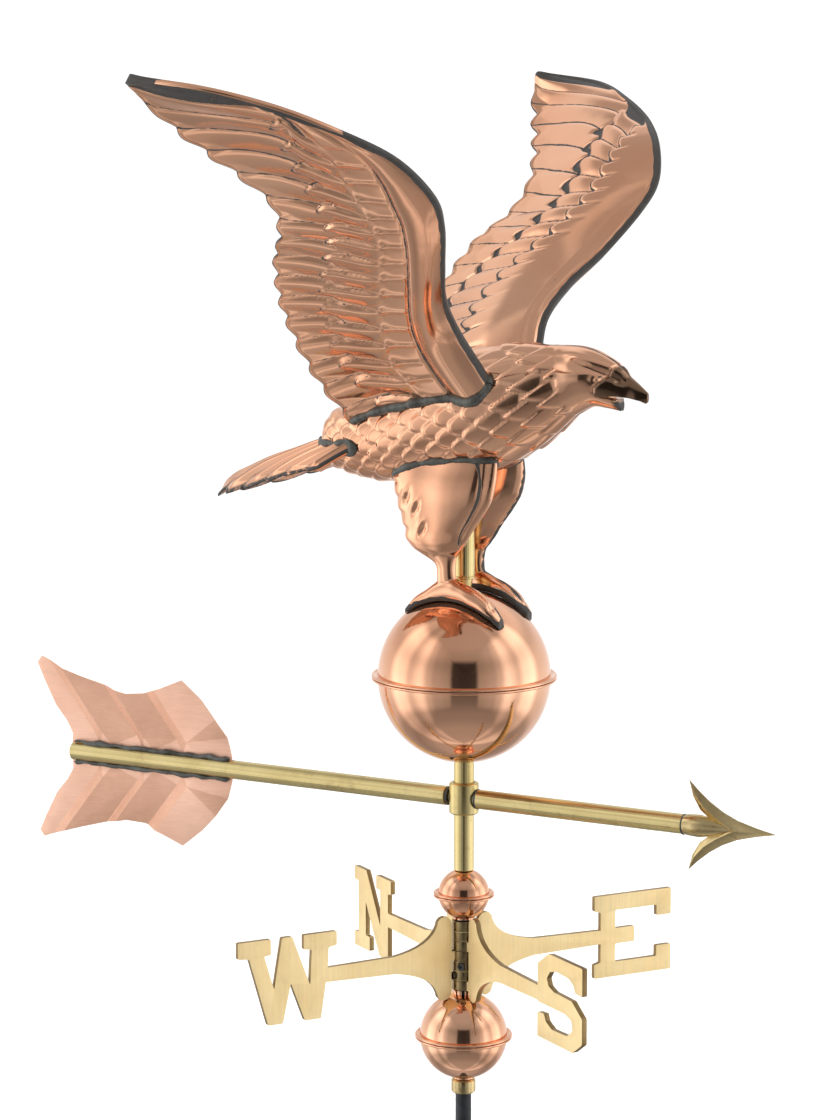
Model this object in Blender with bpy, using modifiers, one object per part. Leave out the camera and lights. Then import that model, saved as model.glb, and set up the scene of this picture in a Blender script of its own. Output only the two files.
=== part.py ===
"""A copper eagle weather vane: a fixed mast with compass letters, and a vane that turns on its rod.

Metres, +Z up. The origin is the centre of the rod's bottom face. At rest the vane points along +X.
"""
import math

import bmesh
import bpy
from mathutils import Matrix, Vector

MM = 0.001
GAP = 0.3 * MM          # clearance left between pieces that touch
SHEET = 0.8 * MM        # thickness of the pressed copper

# Rod, tube and posts
ROD_RADIUS = 4.75 * MM
ROD_TOP = 312.0 * MM
TUBE_RADIUS = 6.0 * MM
TUBE_WALL = 1.0 * MM
TUBE_BOTTOM = 188.2 * MM
TUBE_TOP = 345.0 * MM
THRUST_BALL_RADIUS = 3.0 * MM
SPIGOT_RADIUS = 4.7 * MM
SPIGOT_TOP = 400.0 * MM
POST_BOTTOM = 362.0 * MM
POST_TOP = 440.0 * MM
POST_RING_HEIGHT = 1.6 * MM

# Collar
COLLAR_BOTTOM = 52.6 * MM
COLLAR_TOP = 61.2 * MM
COLLAR_RADIUS = 7.3 * MM
SCREW_RADIUS = 2.2 * MM
SCREW_HOLE_RADIUS = 2.5 * MM
COLLAR_SCREW_TURN = 100.0    # degrees about the rod

# Globes and ball: centre height, radius, flange radius
LOWER_GLOBE = (87.6 * MM, 26.0 * MM, 28.9 * MM)
UPPER_GLOBE = (173.5 * MM, 15.2 * MM, 18.0 * MM)
BALL = (304.0 * MM, 50.8 * MM, 54.4 * MM)
GLOBE_OPENING = 5.6 * MM
SHORT_NECK = 0.6 * MM
SLOTTED_NECK = 2.9 * MM

# Compass letters
HUB_BOTTOM = 116.3 * MM
HUB_PITCH = 5.96 * MM
RING_RADIUS = 7.2 * MM
RING_BORE = 5.05 * MM
PLATE_THICKNESS = 3.2 * MM
PLATE_INNER = 9.0 * MM
LETTER_MIDDLE = 136.0 * MM
LETTER_RADIUS = 116.0 * MM
LETTER_HEIGHT = 50.8 * MM
ARM_HALF = 5.2 * MM
EAR_HALF_HEIGHT = 25.4 * MM
EAR_WIDTH = 9.6 * MM
FLARE_END = 47.0 * MM

# Arrow
ARROW_HEIGHT = 231.5 * MM
SHAFT_RADIUS = 5.75 * MM
HUB_SLEEVE_RADIUS = 8.85 * MM
HUB_SLEEVE_HEIGHT = 18.7 * MM
HUB_STUB_RADIUS = 4.4 * MM
HUB_STUB_REACH = 20.0 * MM
REAR_SHAFT = (-280.0 * MM, -11.0 * MM)
FRONT_SHAFT = (9.2 * MM, 143.0 * MM)
ARROW_TIP = 200.0 * MM
ARROW_TAIL_END = -162.0 * MM

# Eagle
BODY_SHEET = 0.9 * MM
WING_RIGHT = -1
WING_LEFT = 1

COPPER = ((0.86, 0.42, 0.27), 0.22, 1.0)
SATIN_COPPER = ((0.85, 0.50, 0.37), 0.45, 1.0)
BRASS = ((0.74, 0.60, 0.30), 0.30, 1.0)
LETTER_BRASS = ((0.80, 0.66, 0.36), 0.42, 1.0)
STEEL = ((0.22, 0.21, 0.20), 0.35, 1.0)
BLACK_STEEL = ((0.025, 0.027, 0.030), 0.40, 0.8)


# ---------------------------------------------------------------- scene and helpers

def clear_scene():
    for item in list(bpy.data.objects):
        bpy.data.objects.remove(item, do_unlink=True)


def make_collection(name):
    collection = bpy.data.collections.new(name)
    bpy.context.scene.collection.children.link(collection)
    return collection


clear_scene()
PARTS = make_collection("weather_vane")
CUTTERS = make_collection("cutters")


def paint(item, look):
    """Give one object its own Principled material."""
    colour, roughness, metallic = look
    material = bpy.data.materials.new(item.name)
    material.use_nodes = True
    shader = material.node_tree.nodes["Principled BSDF"]
    shader.inputs["Base Color"].default_value = (*colour, 1.0)
    shader.inputs["Roughness"].default_value = roughness
    shader.inputs["Metallic"].default_value = metallic
    material.diffuse_color = (*colour, 1.0)
    item.data.materials.append(material)


def add_object(name, mesh, look=None):
    """Put a mesh in the scene: a part when it has a look, a cutter when it has none."""
    item = bpy.data.objects.new(name, mesh)
    if look is None:
        CUTTERS.objects.link(item)
        item.hide_render = True
        item.display_type = "WIRE"
    else:
        PARTS.objects.link(item)
        paint(item, look)
    return item


def mesh_from(name, points, faces=(), edges=()):
    mesh = bpy.data.meshes.new(name)
    mesh.from_pydata([tuple(point) for point in points], list(edges), [tuple(face) for face in faces])
    mesh.update()
    return mesh


def fix_normals(item):
    """Point every face of a closed mesh outward."""
    work = bmesh.new()
    work.from_mesh(item.data)
    bmesh.ops.recalc_face_normals(work, faces=work.faces)
    work.to_mesh(item.data)
    work.free()


def arc(centre_x, centre_z, radius, start_degrees, end_degrees, steps):
    """Points of a circular arc in the XZ plane, both ends included."""
    points = []
    for step in range(steps + 1):
        angle = math.radians(start_degrees + (end_degrees - start_degrees) * step / steps)
        points.append((centre_x + radius * math.cos(angle), centre_z + radius * math.sin(angle)))
    return points


def turned(name, outline, look, steps=32, closed=True):
    """Turn an outline (radius, height), running down its outer side, about Z."""
    points = [(radius, 0.0, height) for radius, height in outline]
    count = len(points)
    edges = [(index, index + 1) for index in range(count - 1)]
    if closed:
        edges.append((count - 1, 0))
    item = add_object(name, mesh_from(name, points, edges=edges), look)
    screw = item.modifiers.new("turn", "SCREW")
    screw.axis = "Z"
    screw.angle = 2 * math.pi
    screw.steps = steps
    screw.render_steps = steps
    screw.use_merge_vertices = True
    screw.merge_threshold = 0.00001
    return item


def tube_outline(inner, outer, low, high, edge=0.0):
    """Closed outline of a tube, with its outer edges rounded off by a small chamfer."""
    if edge == 0.0:
        return [(outer, high), (outer, low), (inner, low), (inner, high)]
    return [(outer - edge, high), (outer, high - edge), (outer, low + edge), (outer - edge, low),
            (inner, low), (inner, high)]


def rod_outline(radius, low, high, edge):
    """Open outline of a solid rod with chamfered ends; its ends lie on the axis."""
    return [(0.0, high), (radius - edge, high), (radius, high - edge), (radius, low + edge),
            (radius - edge, low), (0.0, low)]


def cut(item, cutter, operation="DIFFERENCE"):
    boolean = item.modifiers.new(operation.lower(), "BOOLEAN")
    boolean.operation = operation
    boolean.solver = "EXACT"
    boolean.object = cutter


def box(name, low, high, look=None):
    work = bmesh.new()
    bmesh.ops.create_cube(work, size=1.0)
    low, high = Vector(low), Vector(high)
    size = high - low
    bmesh.ops.scale(work, vec=size, verts=work.verts)
    bmesh.ops.translate(work, vec=(low + high) / 2, verts=work.verts)
    mesh = bpy.data.meshes.new(name)
    work.to_mesh(mesh)
    work.free()
    return add_object(name, mesh, look)


def cylinder(name, radius, start, end, look=None, sides=24, end_radius=None):
    """A cylinder or cone from one point to another."""
    start, end = Vector(start), Vector(end)
    work = bmesh.new()
    bmesh.ops.create_cone(work, cap_ends=True, segments=sides, radius1=radius,
                          radius2=radius if end_radius is None else end_radius, depth=(end - start).length)
    turn = Vector((0, 0, 1)).rotation_difference(end - start).to_matrix().to_4x4()
    bmesh.ops.transform(work, matrix=Matrix.Translation((start + end) / 2) @ turn, verts=work.verts)
    mesh = bpy.data.meshes.new(name)
    work.to_mesh(mesh)
    work.free()
    return add_object(name, mesh, look)


def prism(name, outline, low, high, look=None):
    """A flat outline in the XZ plane, drawn out along Y from low to high."""
    count = len(outline)
    points = [(x, low, z) for x, z in outline] + [(x, high, z) for x, z in outline]
    faces = [tuple(range(count)), tuple(range(2 * count - 1, count - 1, -1))]
    for index in range(count):
        after = (index + 1) % count
        faces.append((index, index + count, after + count, after))
    item = add_object(name, mesh_from(name, points, faces), look)
    fix_normals(item)
    return item


def loft(name, rings, look=None):
    """A closed solid through rings of equally many points, capped at both ends."""
    count = len(rings[0])
    points = [point for ring in rings for point in ring]
    faces = []
    for row in range(len(rings) - 1):
        for index in range(count):
            after = (index + 1) % count
            faces.append((row * count + index, row * count + after,
                          (row + 1) * count + after, (row + 1) * count + index))
    last = (len(rings) - 1) * count
    faces.append(tuple(range(count)))
    faces.append(tuple(last + index for index in range(count)))
    item = add_object(name, mesh_from(name, points, faces), look)
    fix_normals(item)
    return item


def smooth_step(value):
    value = min(max(value, 0.0), 1.0)
    return value * value * (3.0 - 2.0 * value)


def spline(points, position):
    """Point at position 0..1 of a smooth curve through the points, evenly spaced by index."""
    count = len(points) - 1
    place = min(max(position, 0.0), 1.0) * count
    index = min(int(place), count - 1)
    part = place - index
    before = Vector(points[max(index - 1, 0)])
    start = Vector(points[index])
    end = Vector(points[index + 1])
    after = Vector(points[min(index + 2, count)])
    return 0.5 * ((2 * start) + (end - before) * part
                  + (2 * before - 5 * start + 4 * end - after) * part ** 2
                  + (3 * start - before - 3 * end + after) * part ** 3)


# ---------------------------------------------------------------- rod, collar, globes, ball

def build_rod():
    outline = rod_outline(ROD_RADIUS, 0.0, ROD_TOP, 0.8 * MM)
    turned("mounting_rod", outline, BLACK_STEEL, steps=24, closed=False)


def set_screw(name, height, angle, inner, outer):
    """A short socket set screw lying along a radius of the mast."""
    direction = Vector((math.cos(angle), math.sin(angle), 0.0))
    base = Vector((0.0, 0.0, height))
    screw = cylinder(name, SCREW_RADIUS, base + direction * inner, base + direction * outer, STEEL, sides=16)
    socket = cylinder(name + "_socket", 1.1 * MM, base + direction * (outer - 1.5 * MM),
                      base + direction * (outer + 1.0 * MM), sides=6)
    cut(screw, socket)


def screw_hole(name, height, angle):
    """Cutter for the radial hole that a set screw sits in."""
    direction = Vector((math.cos(angle), math.sin(angle), 0.0))
    base = Vector((0.0, 0.0, height))
    return cylinder(name, SCREW_HOLE_RADIUS, base + direction * (2.0 * MM), base + direction * (12.0 * MM),
                    sides=16)


def build_collar():
    edge = 1.0 * MM
    outline = tube_outline(RING_BORE, COLLAR_RADIUS, COLLAR_BOTTOM, COLLAR_TOP, edge)
    collar = turned("set_collar", outline, BRASS, steps=24)
    middle = (COLLAR_BOTTOM + COLLAR_TOP) / 2
    angle = math.radians(COLLAR_SCREW_TURN)
    cut(collar, screw_hole("set_collar_hole", middle, angle))
    set_screw("set_collar_screw", middle, angle, RING_BORE, COLLAR_RADIUS + 1.2 * MM)


def half_shell(name, globe, side, opening, look, steps, arc_steps, neck=0.0):
    """One spun half of a hollow globe: side is 1 for the top half and -1 for the bottom half."""
    height, radius, flange_radius = globe
    inner_radius = radius - SHEET
    lip = 1.0 * MM
    seam = GAP / 2
    pole = math.degrees(math.acos(opening / radius))
    inner_pole = math.degrees(math.acos(opening / inner_radius))
    flange_angle = math.degrees(math.asin((seam + lip) / radius))
    seam_angle = math.degrees(math.asin(seam / inner_radius))
    outline = arc(0.0, 0.0, radius, pole, flange_angle, arc_steps)
    edge = 0.35 * MM
    outline += [(flange_radius - edge, seam + lip), (flange_radius, seam + lip - edge),
                (flange_radius, seam + edge), (flange_radius - edge, seam)]
    outline += arc(0.0, 0.0, inner_radius, seam_angle, inner_pole, arc_steps)
    if neck > 0.0:
        neck_radius = opening + SHEET
        foot = math.degrees(math.acos(neck_radius / radius))
        outline[0] = (neck_radius, radius * math.sin(math.radians(foot)))
        outline = [(opening, radius * math.sin(math.radians(pole)) + neck),
                   (neck_radius, radius * math.sin(math.radians(pole)) + neck)] + outline
    outline = [(x, height + side * z) for x, z in outline]
    if side < 0:
        outline.reverse()
    return turned(name, outline, look, steps=steps)


def build_globes():
    opening = GLOBE_OPENING
    half_shell("lower_globe_bottom", LOWER_GLOBE, -1, opening, COPPER, 28, 8, neck=SHORT_NECK)
    top = half_shell("lower_globe_top", LOWER_GLOBE, 1, opening, COPPER, 28, 8, neck=SLOTTED_NECK)
    neck_base = LOWER_GLOBE[0] + LOWER_GLOBE[1] - 0.4 * MM
    for index in range(2):
        slot = box(f"neck_slot_{index}", (-9 * MM, -1.6 * MM, neck_base), (9 * MM, 1.6 * MM, neck_base + 6 * MM))
        slot.rotation_euler = (0, 0, math.radians(27.0 + 90.0 * index))
        cut(top, slot)
    half_shell("upper_globe_bottom", UPPER_GLOBE, -1, opening, COPPER, 24, 6, neck=SHORT_NECK)
    half_shell("upper_globe_top", UPPER_GLOBE, 1, opening - 0.3 * MM, COPPER, 24, 6)


def build_ball():
    half_shell("ball_bottom", BALL, -1, TUBE_RADIUS + GAP, COPPER, 36, 10)
    half_shell("ball_top", BALL, 1, SPIGOT_RADIUS + GAP, COPPER, 36, 10)


# ---------------------------------------------------------------- compass letters

def corner_round(points, radius, steps=2):
    """Round the corners of a closed outline a little."""
    count = len(points)
    result = []
    for index in range(count):
        before = Vector(points[index - 1])
        here = Vector(points[index])
        after = Vector(points[(index + 1) % count])
        reach = min(radius, (before - here).length * 0.4, (after - here).length * 0.4)
        start = here + (before - here).normalized() * reach
        end = here + (after - here).normalized() * reach
        for step in range(steps + 1):
            part = step / steps
            result.append(tuple(start * (1 - part) ** 2 + here * 2 * part * (1 - part) + end * part ** 2))
    return result


# Letter outlines in a unit square: x from left to right as the letter is read, z from 0 to 1.
# Each runs clockwise from the upper corner of the arm to its lower corner, and the arm closes it.
LETTER_E = [(0.08, 0.60), (0.08, 0.80), (0.0, 0.82), (0.0, 1.0), (1.0, 1.0), (1.0, 0.68), (0.81, 0.68),
            (0.81, 0.81), (0.27, 0.81), (0.27, 0.59), (0.52, 0.59), (0.52, 0.40), (0.27, 0.40),
            (0.27, 0.18), (0.81, 0.18), (0.81, 0.31), (1.0, 0.31), (1.0, 0.0), (0.0, 0.0), (0.0, 0.17),
            (0.08, 0.19), (0.08, 0.40)]
LETTER_S = [(0.0, 0.60), (0.0, 0.84), (0.25, 1.0), (1.0, 1.0), (1.0, 0.68), (0.84, 0.69), (0.81, 0.76),
            (0.71, 0.82), (0.43, 0.835), (0.28, 0.80), (0.21, 0.71), (0.25, 0.63), (0.37, 0.59),
            (0.77, 0.58), (1.0, 0.43), (1.0, 0.14), (0.79, 0.0), (0.0, 0.0), (0.0, 0.28), (0.15, 0.29),
            (0.19, 0.21), (0.33, 0.15), (0.67, 0.16), (0.79, 0.25), (0.76, 0.36), (0.63, 0.40), (0.0, 0.40)]
LETTER_N = [(0.92, 0.40), (0.92, 0.0), (0.69, 0.0), (0.31, 0.60), (0.31, 0.18), (0.42, 0.18), (0.42, 0.0),
            (0.0, 0.0), (0.0, 0.18), (0.11, 0.18), (0.11, 0.83), (0.0, 0.83), (0.0, 1.0), (0.33, 1.0),
            (0.71, 0.38), (0.71, 0.83), (0.60, 0.83), (0.60, 1.0), (1.0, 1.0), (1.0, 0.83), (0.92, 0.82),
            (0.92, 0.60)]
LETTER_W = [(0.885, 0.40), (0.835, 0.0), (0.67, 0.0), (0.53, 0.46), (0.447, 0.0), (0.297, 0.0), (0.11, 0.80),
            (0.0, 0.81), (0.0, 1.0), (0.33, 1.0), (0.33, 0.82), (0.262, 0.81), (0.36, 0.41), (0.443, 1.0),
            (0.545, 1.0), (0.725, 0.41), (0.744, 0.82), (0.663, 0.83), (0.663, 1.0), (1.0, 1.0),
            (1.0, 0.84), (0.916, 0.82), (0.908, 0.60)]

# name: outline, width, whether the word side faces outward, heading, ring levels, screw turn from the arm
LETTERS = {
    "east": (LETTER_E, 54.0 * MM, True, 57.5, (2, 6), 229.5),
    "north": (LETTER_N, 49.5 * MM, False, 147.5, (1, 5), 99.5),
    "west": (LETTER_W, 63.0 * MM, False, 237.5, (3,), 130.0),
    "south": (LETTER_S, 50.0 * MM, True, 327.5, (0, 4), 50.0),
}


def hub_plate_outline():
    """Upper half of the arm and ear, from the arm's outer end to the inner edge: (radius, height)."""
    ear_radius = EAR_WIDTH / 2
    ear_top = EAR_HALF_HEIGHT - ear_radius
    flare = []
    steps = 8
    start = Vector((FLARE_END, ARM_HALF))
    control = Vector((PLATE_INNER + EAR_WIDTH + 4.0 * MM, ARM_HALF + 3.5 * MM))
    end = Vector((PLATE_INNER + EAR_WIDTH, ear_top))
    for step in range(steps + 1):
        part = step / steps
        flare.append(tuple(start * (1 - part) ** 2 + control * 2 * part * (1 - part) + end * part ** 2))
    return flare + arc(PLATE_INNER + ear_radius, ear_top, ear_radius, 0, 180, 6)[1:]


def build_direction(name):
    """One compass letter: plate with letter, arm and ear, joined to its rings, and its set screw."""
    letter, width, faces_out, heading, levels, screw_turn = LETTERS[name]
    inner_x = LETTER_RADIUS - width / 2
    points = []
    for x, z in letter:
        along = inner_x + width * (x if faces_out else 1.0 - x)
        points.append((along, (z - 0.5) * LETTER_HEIGHT))
    points = corner_round(points, 0.8 * MM)
    if not faces_out:
        points.reverse()
    upper = hub_plate_outline()
    outline = points + [(x, -z) for x, z in upper] + list(reversed(upper))
    outline = [(x, z + LETTER_MIDDLE) for x, z in outline]
    node = prism(f"direction_{name}", outline, -PLATE_THICKNESS / 2, PLATE_THICKNESS / 2, LETTER_BRASS)
    angle = math.radians(heading)
    node.rotation_euler = (0, 0, angle)
    for level in levels:
        low = HUB_BOTTOM + level * HUB_PITCH
        high = low + HUB_PITCH - GAP
        ring = turned(f"ring_{name}_{level}", tube_outline(RING_BORE, RING_RADIUS, low, high), None, steps=20)
        lug = box(f"lug_{name}_{level}", (RING_BORE + 1.2 * MM, -PLATE_THICKNESS / 2, low),
                  (PLATE_INNER + 1.0 * MM, PLATE_THICKNESS / 2, high))
        lug.rotation_euler = (0, 0, angle)
        cut(node, lug, "UNION")
        cut(node, ring, "UNION")
    screw_height = HUB_BOTTOM + (levels[0] + 0.5) * HUB_PITCH - GAP / 2
    screw_angle = math.radians(heading + screw_turn)
    cut(node, screw_hole(f"hole_{name}", screw_height, screw_angle))
    set_screw(f"direction_screw_{name}", screw_height, screw_angle, RING_BORE, RING_RADIUS + 1.4 * MM)


# ---------------------------------------------------------------- spindle, posts and arrow

def build_spindle():
    turned("spindle_tube", tube_outline(TUBE_RADIUS - TUBE_WALL, TUBE_RADIUS, TUBE_BOTTOM, TUBE_TOP, 0.3 * MM),
           BRASS, steps=32)
    ball_centre = ROD_TOP + GAP + THRUST_BALL_RADIUS
    turned("thrust_ball", arc(0.0, ball_centre, THRUST_BALL_RADIUS, 90, -90, 8), STEEL, steps=12,
           closed=False)
    spigot_bottom = ball_centre + THRUST_BALL_RADIUS + GAP
    turned("spigot", rod_outline(SPIGOT_RADIUS, spigot_bottom, SPIGOT_TOP, 0.6 * MM), BRASS,
           steps=24, closed=False)
    inner = TUBE_RADIUS - TUBE_WALL
    ring = 0.5 * MM
    step_top = POST_BOTTOM + POST_RING_HEIGHT
    outline = [(TUBE_RADIUS, POST_TOP), (TUBE_RADIUS, step_top), (TUBE_RADIUS + ring, step_top - 0.3 * MM),
               (TUBE_RADIUS + ring, POST_BOTTOM + 0.3 * MM), (TUBE_RADIUS + ring - 0.3 * MM, POST_BOTTOM),
               (inner, POST_BOTTOM), (inner, POST_TOP)]
    turned("eagle_post", outline, BRASS, steps=32)


def tube_along_x(name, span, inner, look):
    """A tube lying along the arrow's axis."""
    outline = tube_outline(inner, SHAFT_RADIUS, span[0], span[1], 0.3 * MM)
    tube = turned(name, outline, look, steps=32)
    tube.rotation_euler = (0, math.radians(90), 0)
    tube.location = (0, 0, ARROW_HEIGHT)
    return tube


def build_arrow_hub():
    low = ARROW_HEIGHT - HUB_SLEEVE_HEIGHT / 2
    high = ARROW_HEIGHT + HUB_SLEEVE_HEIGHT / 2
    bore = TUBE_RADIUS + GAP
    hub = turned("arrow_hub", tube_outline(bore, HUB_SLEEVE_RADIUS, low, high, 0.8 * MM), BRASS, steps=32)
    for side in (-1, 1):
        stub = cylinder(f"hub_stub_{side}", HUB_STUB_RADIUS,
                        (side * (bore + 1.0 * MM), 0, ARROW_HEIGHT), (side * HUB_STUB_REACH, 0, ARROW_HEIGHT))
        cut(hub, stub, "UNION")


def build_arrow_shafts():
    inner = SHAFT_RADIUS - TUBE_WALL
    rear = tube_along_x("arrow_shaft_rear", REAR_SHAFT, inner, BRASS)
    slit = box("tail_slit", (REAR_SHAFT[0] - 5 * MM, -SHEET / 2 - GAP, ARROW_HEIGHT - 9 * MM),
               (ARROW_TAIL_END + 2 * MM, SHEET / 2 + GAP, ARROW_HEIGHT + 9 * MM))
    cut(rear, slit)
    tube_along_x("arrow_shaft_front", FRONT_SHAFT, inner, BRASS)


# Fletching: upper outline from the rear notch forward, as (x, height above the shaft's axis)
FLETCH = [(-281, 0), (-281, 11), (-286, 19), (-294, 28), (-303, 44), (-308, 54), (-305, 58), (-294, 54),
          (-274, 48), (-255, 43), (-240, 40), (-228, 41), (-213, 46), (-199, 52), (-185, 41), (-173, 30),
          (-166, 19), (-162, 7), (-162, 0)]
# Fold lines cross the shaft's axis at these places and lean back as they rise
FOLDS = [-254.5, -245.5, -222.0, -214.5, -192.5, -182.5]
FOLD_LEAN = -0.80
FOLD_DEPTH = 2.0
FLAT_REACH = 6.5
RISE_REACH = 14.0


def fold_offset(x, height):
    """Sideways offset of the pleated sheet, in millimetres: wide leaves joined by narrow steps."""
    place = x - FOLD_LEAN * height
    knots = [-320.0] + FOLDS + [-150.0]
    values = [-1.0, 1.0, -1.0, 1.0, -1.0, 1.0, -1.0, 0.6]
    offset = values[0]
    for index in range(len(knots) - 1):
        if knots[index] <= place <= knots[index + 1]:
            part = (place - knots[index]) / (knots[index + 1] - knots[index])
            offset = values[index] + (values[index + 1] - values[index]) * part
    rise = min(max((height - FLAT_REACH) / (RISE_REACH - FLAT_REACH), 0.0), 1.0)
    return offset * FOLD_DEPTH * rise


def build_fletching():
    """One pleated copper sheet through the slit of the rear shaft, mirrored about the shaft's axis."""
    work = bmesh.new()
    face = work.faces.new([work.verts.new((x, 0.0, z)) for x, z in FLETCH])
    planes = [((place, 0, 0), (1.0, 0.0, -FOLD_LEAN)) for place in FOLDS]
    planes += [((0, 0, FLAT_REACH), (0, 0, 1)), ((0, 0, RISE_REACH), (0, 0, 1))]
    for point, normal in planes:
        geometry = list(work.verts) + list(work.edges) + list(work.faces)
        bmesh.ops.bisect_plane(work, geom=geometry, plane_co=point, plane_no=normal, dist=0.0001)
    for vertex in work.verts:
        vertex.co.y = fold_offset(vertex.co.x, vertex.co.z)
    bmesh.ops.triangulate(work, faces=[face for face in work.faces if len(face.verts) > 4])
    bmesh.ops.scale(work, vec=(MM, MM, MM), verts=work.verts)
    mesh = bpy.data.meshes.new("arrow_tail")
    work.to_mesh(mesh)
    work.free()
    tail = add_object("arrow_tail", mesh, SATIN_COPPER)
    tail.location = (0, 0, ARROW_HEIGHT)
    mirror = tail.modifiers.new("lower_half", "MIRROR")
    mirror.use_axis = (False, False, True)
    mirror.merge_threshold = 0.00001
    solid = tail.modifiers.new("sheet", "SOLIDIFY")
    solid.thickness = SHEET
    solid.offset = 0.0


# Arrow head, upper half, from the barb's point to where the blades meet the core: (x, height)
BLADE_OUTER = [(146.0, 26.0), (152.0, 20.3), (159.0, 14.6), (167.0, 9.6), (176.0, 5.6), (188.0, 2.4),
               (200.0, 0.0)]
BLADE_RIDGE = [(146.0, 26.0), (150.0, 18.0), (156.0, 11.5), (164.0, 6.0), (175.0, 0.0), (188.0, 0.0),
               (200.0, 0.0)]
BLADE_BACK = [(146.0, 26.0), (148.5, 17.0), (153.0, 9.5), (160.0, 4.0), (171.0, 0.0)]
RIDGE_RISE = [0.5, 1.6, 2.4, 3.0, 3.4, 2.2, 0.4]
EDGE_HALF = 0.35


def build_arrow_head():
    """A cast broadhead: two swept blades with a raised ridge on each side, on a conical core."""
    points = []
    faces = []

    def add(x, y, z):
        points.append((x * MM, y * MM, z * MM))
        return len(points) - 1

    barb_x, barb_z = BLADE_OUTER[0]
    barb = {side: add(barb_x, side * EDGE_HALF, barb_z) for side in (-1, 1)}
    tip = {side: add(ARROW_TIP / MM, side * EDGE_HALF, 0.0) for side in (-1, 1)}
    outer = {}
    ridge = {}
    back = {}
    count = len(BLADE_OUTER)
    for side in (-1, 1):
        outer[side] = [barb[side]] + [add(x, side * EDGE_HALF, z) for x, z in BLADE_OUTER[1:-1]] + [tip[side]]
        ridge[side] = [barb[side]] + [add(x, side * rise, z)
                                      for (x, z), rise in zip(BLADE_RIDGE[1:-1], RIDGE_RISE[1:-1])] + [tip[side]]
        back[side] = [barb[side]] + [add(x, side * EDGE_HALF, z) for x, z in BLADE_BACK[1:]]
    for side in (-1, 1):
        for index in range(count - 1):
            faces.append((outer[side][index], outer[side][index + 1], ridge[side][index + 1], ridge[side][index]))
        for index in range(len(BLADE_BACK) - 1):
            faces.append((ridge[side][index], ridge[side][index + 1], back[side][index + 1], back[side][index]))
    for index in range(count - 1):
        faces.append((outer[-1][index], outer[1][index], outer[1][index + 1], outer[-1][index + 1]))
    for index in range(len(BLADE_BACK) - 1):
        faces.append((back[-1][index], back[1][index], back[1][index + 1], back[-1][index + 1]))
    faces = [tuple(dict.fromkeys(face)) for face in faces]
    faces = [face for face in faces if len(face) > 2]
    head = add_object("arrow_head", mesh_from("arrow_head", points, faces), BRASS)
    fix_normals(head)
    head.location = (0, 0, ARROW_HEIGHT)
    mirror = head.modifiers.new("lower_blade", "MIRROR")
    mirror.use_axis = (False, False, True)
    mirror.merge_threshold = 0.00001
    core = turned("head_core", [(0.0, 178.0 * MM), (2.6 * MM, 169.0 * MM), (5.6 * MM, 158.0 * MM),
                                (6.5 * MM, 153.0 * MM), (6.3 * MM, 148.0 * MM), (SHAFT_RADIUS, 143.3 * MM),
                                (HUB_STUB_RADIUS, 143.3 * MM), (HUB_STUB_RADIUS, 132.0 * MM),
                                (0.0, 132.0 * MM)], None, steps=32, closed=False)
    core.rotation_euler = (0, math.radians(90), 0)
    core.location = (0, 0, ARROW_HEIGHT)
    cut(head, core, "UNION")


# ---------------------------------------------------------------- eagle

# Body stations: x, top, bottom, half width, all in millimetres
BODY = [
    (-93.0, 446.0, 433.0, 5.0),
    (-89.0, 453.0, 426.0, 13.0),
    (-77.0, 461.0, 420.5, 21.0),
    (-60.0, 468.0, 417.0, 26.5),
    (-36.0, 479.0, 416.5, 31.0),
    (-8.0, 491.0, 421.5, 33.5),
    (14.0, 498.0, 425.0, 33.5),
    (30.0, 500.5, 429.5, 31.5),
    (44.0, 501.0, 437.5, 28.0),
    (56.0, 501.0, 445.5, 24.0),
    (66.0, 501.0, 454.0, 20.0),
    (76.0, 500.5, 462.5, 17.5),
    (85.0, 498.5, 466.5, 15.0),
    (93.0, 495.0, 466.0, 11.5),
    (100.0, 490.5, 465.0, 8.0),
    (106.0, 485.0, 464.0, 5.5),
    (112.0, 480.5, 466.0, 3.6),
    (118.0, 475.5, 471.0, 0.9),
]
CAVITY_END = 90.0
SECTION_POINTS = 10


def body_section(station, grow, flat=None, side=1):
    """Half of a body section: from its top round one side to its bottom, closed by a flat."""
    x, top, bottom, half_width = station
    centre = (top + bottom) / 2
    rise = (top - bottom) / 2 + grow
    reach = half_width + grow
    start = GAP / 2 / MM if flat is None else flat
    ring = []
    for index in range(SECTION_POINTS + 1):
        angle = math.radians(90.0 - 180.0 * index / SECTION_POINTS)
        ring.append((x * MM, side * (start + (reach - start) * math.cos(angle)) * MM,
                     (centre + rise * math.sin(angle)) * MM))
    if flat is not None:
        ring.append((x * MM, side * -2.0 * MM, (centre - rise) * MM))
        ring.append((x * MM, side * -2.0 * MM, (centre + rise) * MM))
    return ring


def body_cutter():
    """The body's outer form, grown by the gap, which trims what is soldered to it."""
    rings = []
    for station in BODY:
        right = body_section(station, GAP / MM, flat=None, side=-1)
        left = body_section(station, GAP / MM, flat=None, side=1)
        rings.append(right + list(reversed(left)))
    return loft("body_form", rings)


MOUTH = [(86.5, 473.5), (96.0, 476.2), (107.0, 475.6), (113.5, 472.6), (117.5, 468.5), (121.0, 460.0),
         (107.5, 460.0), (105.5, 465.8), (97.0, 470.8)]


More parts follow.
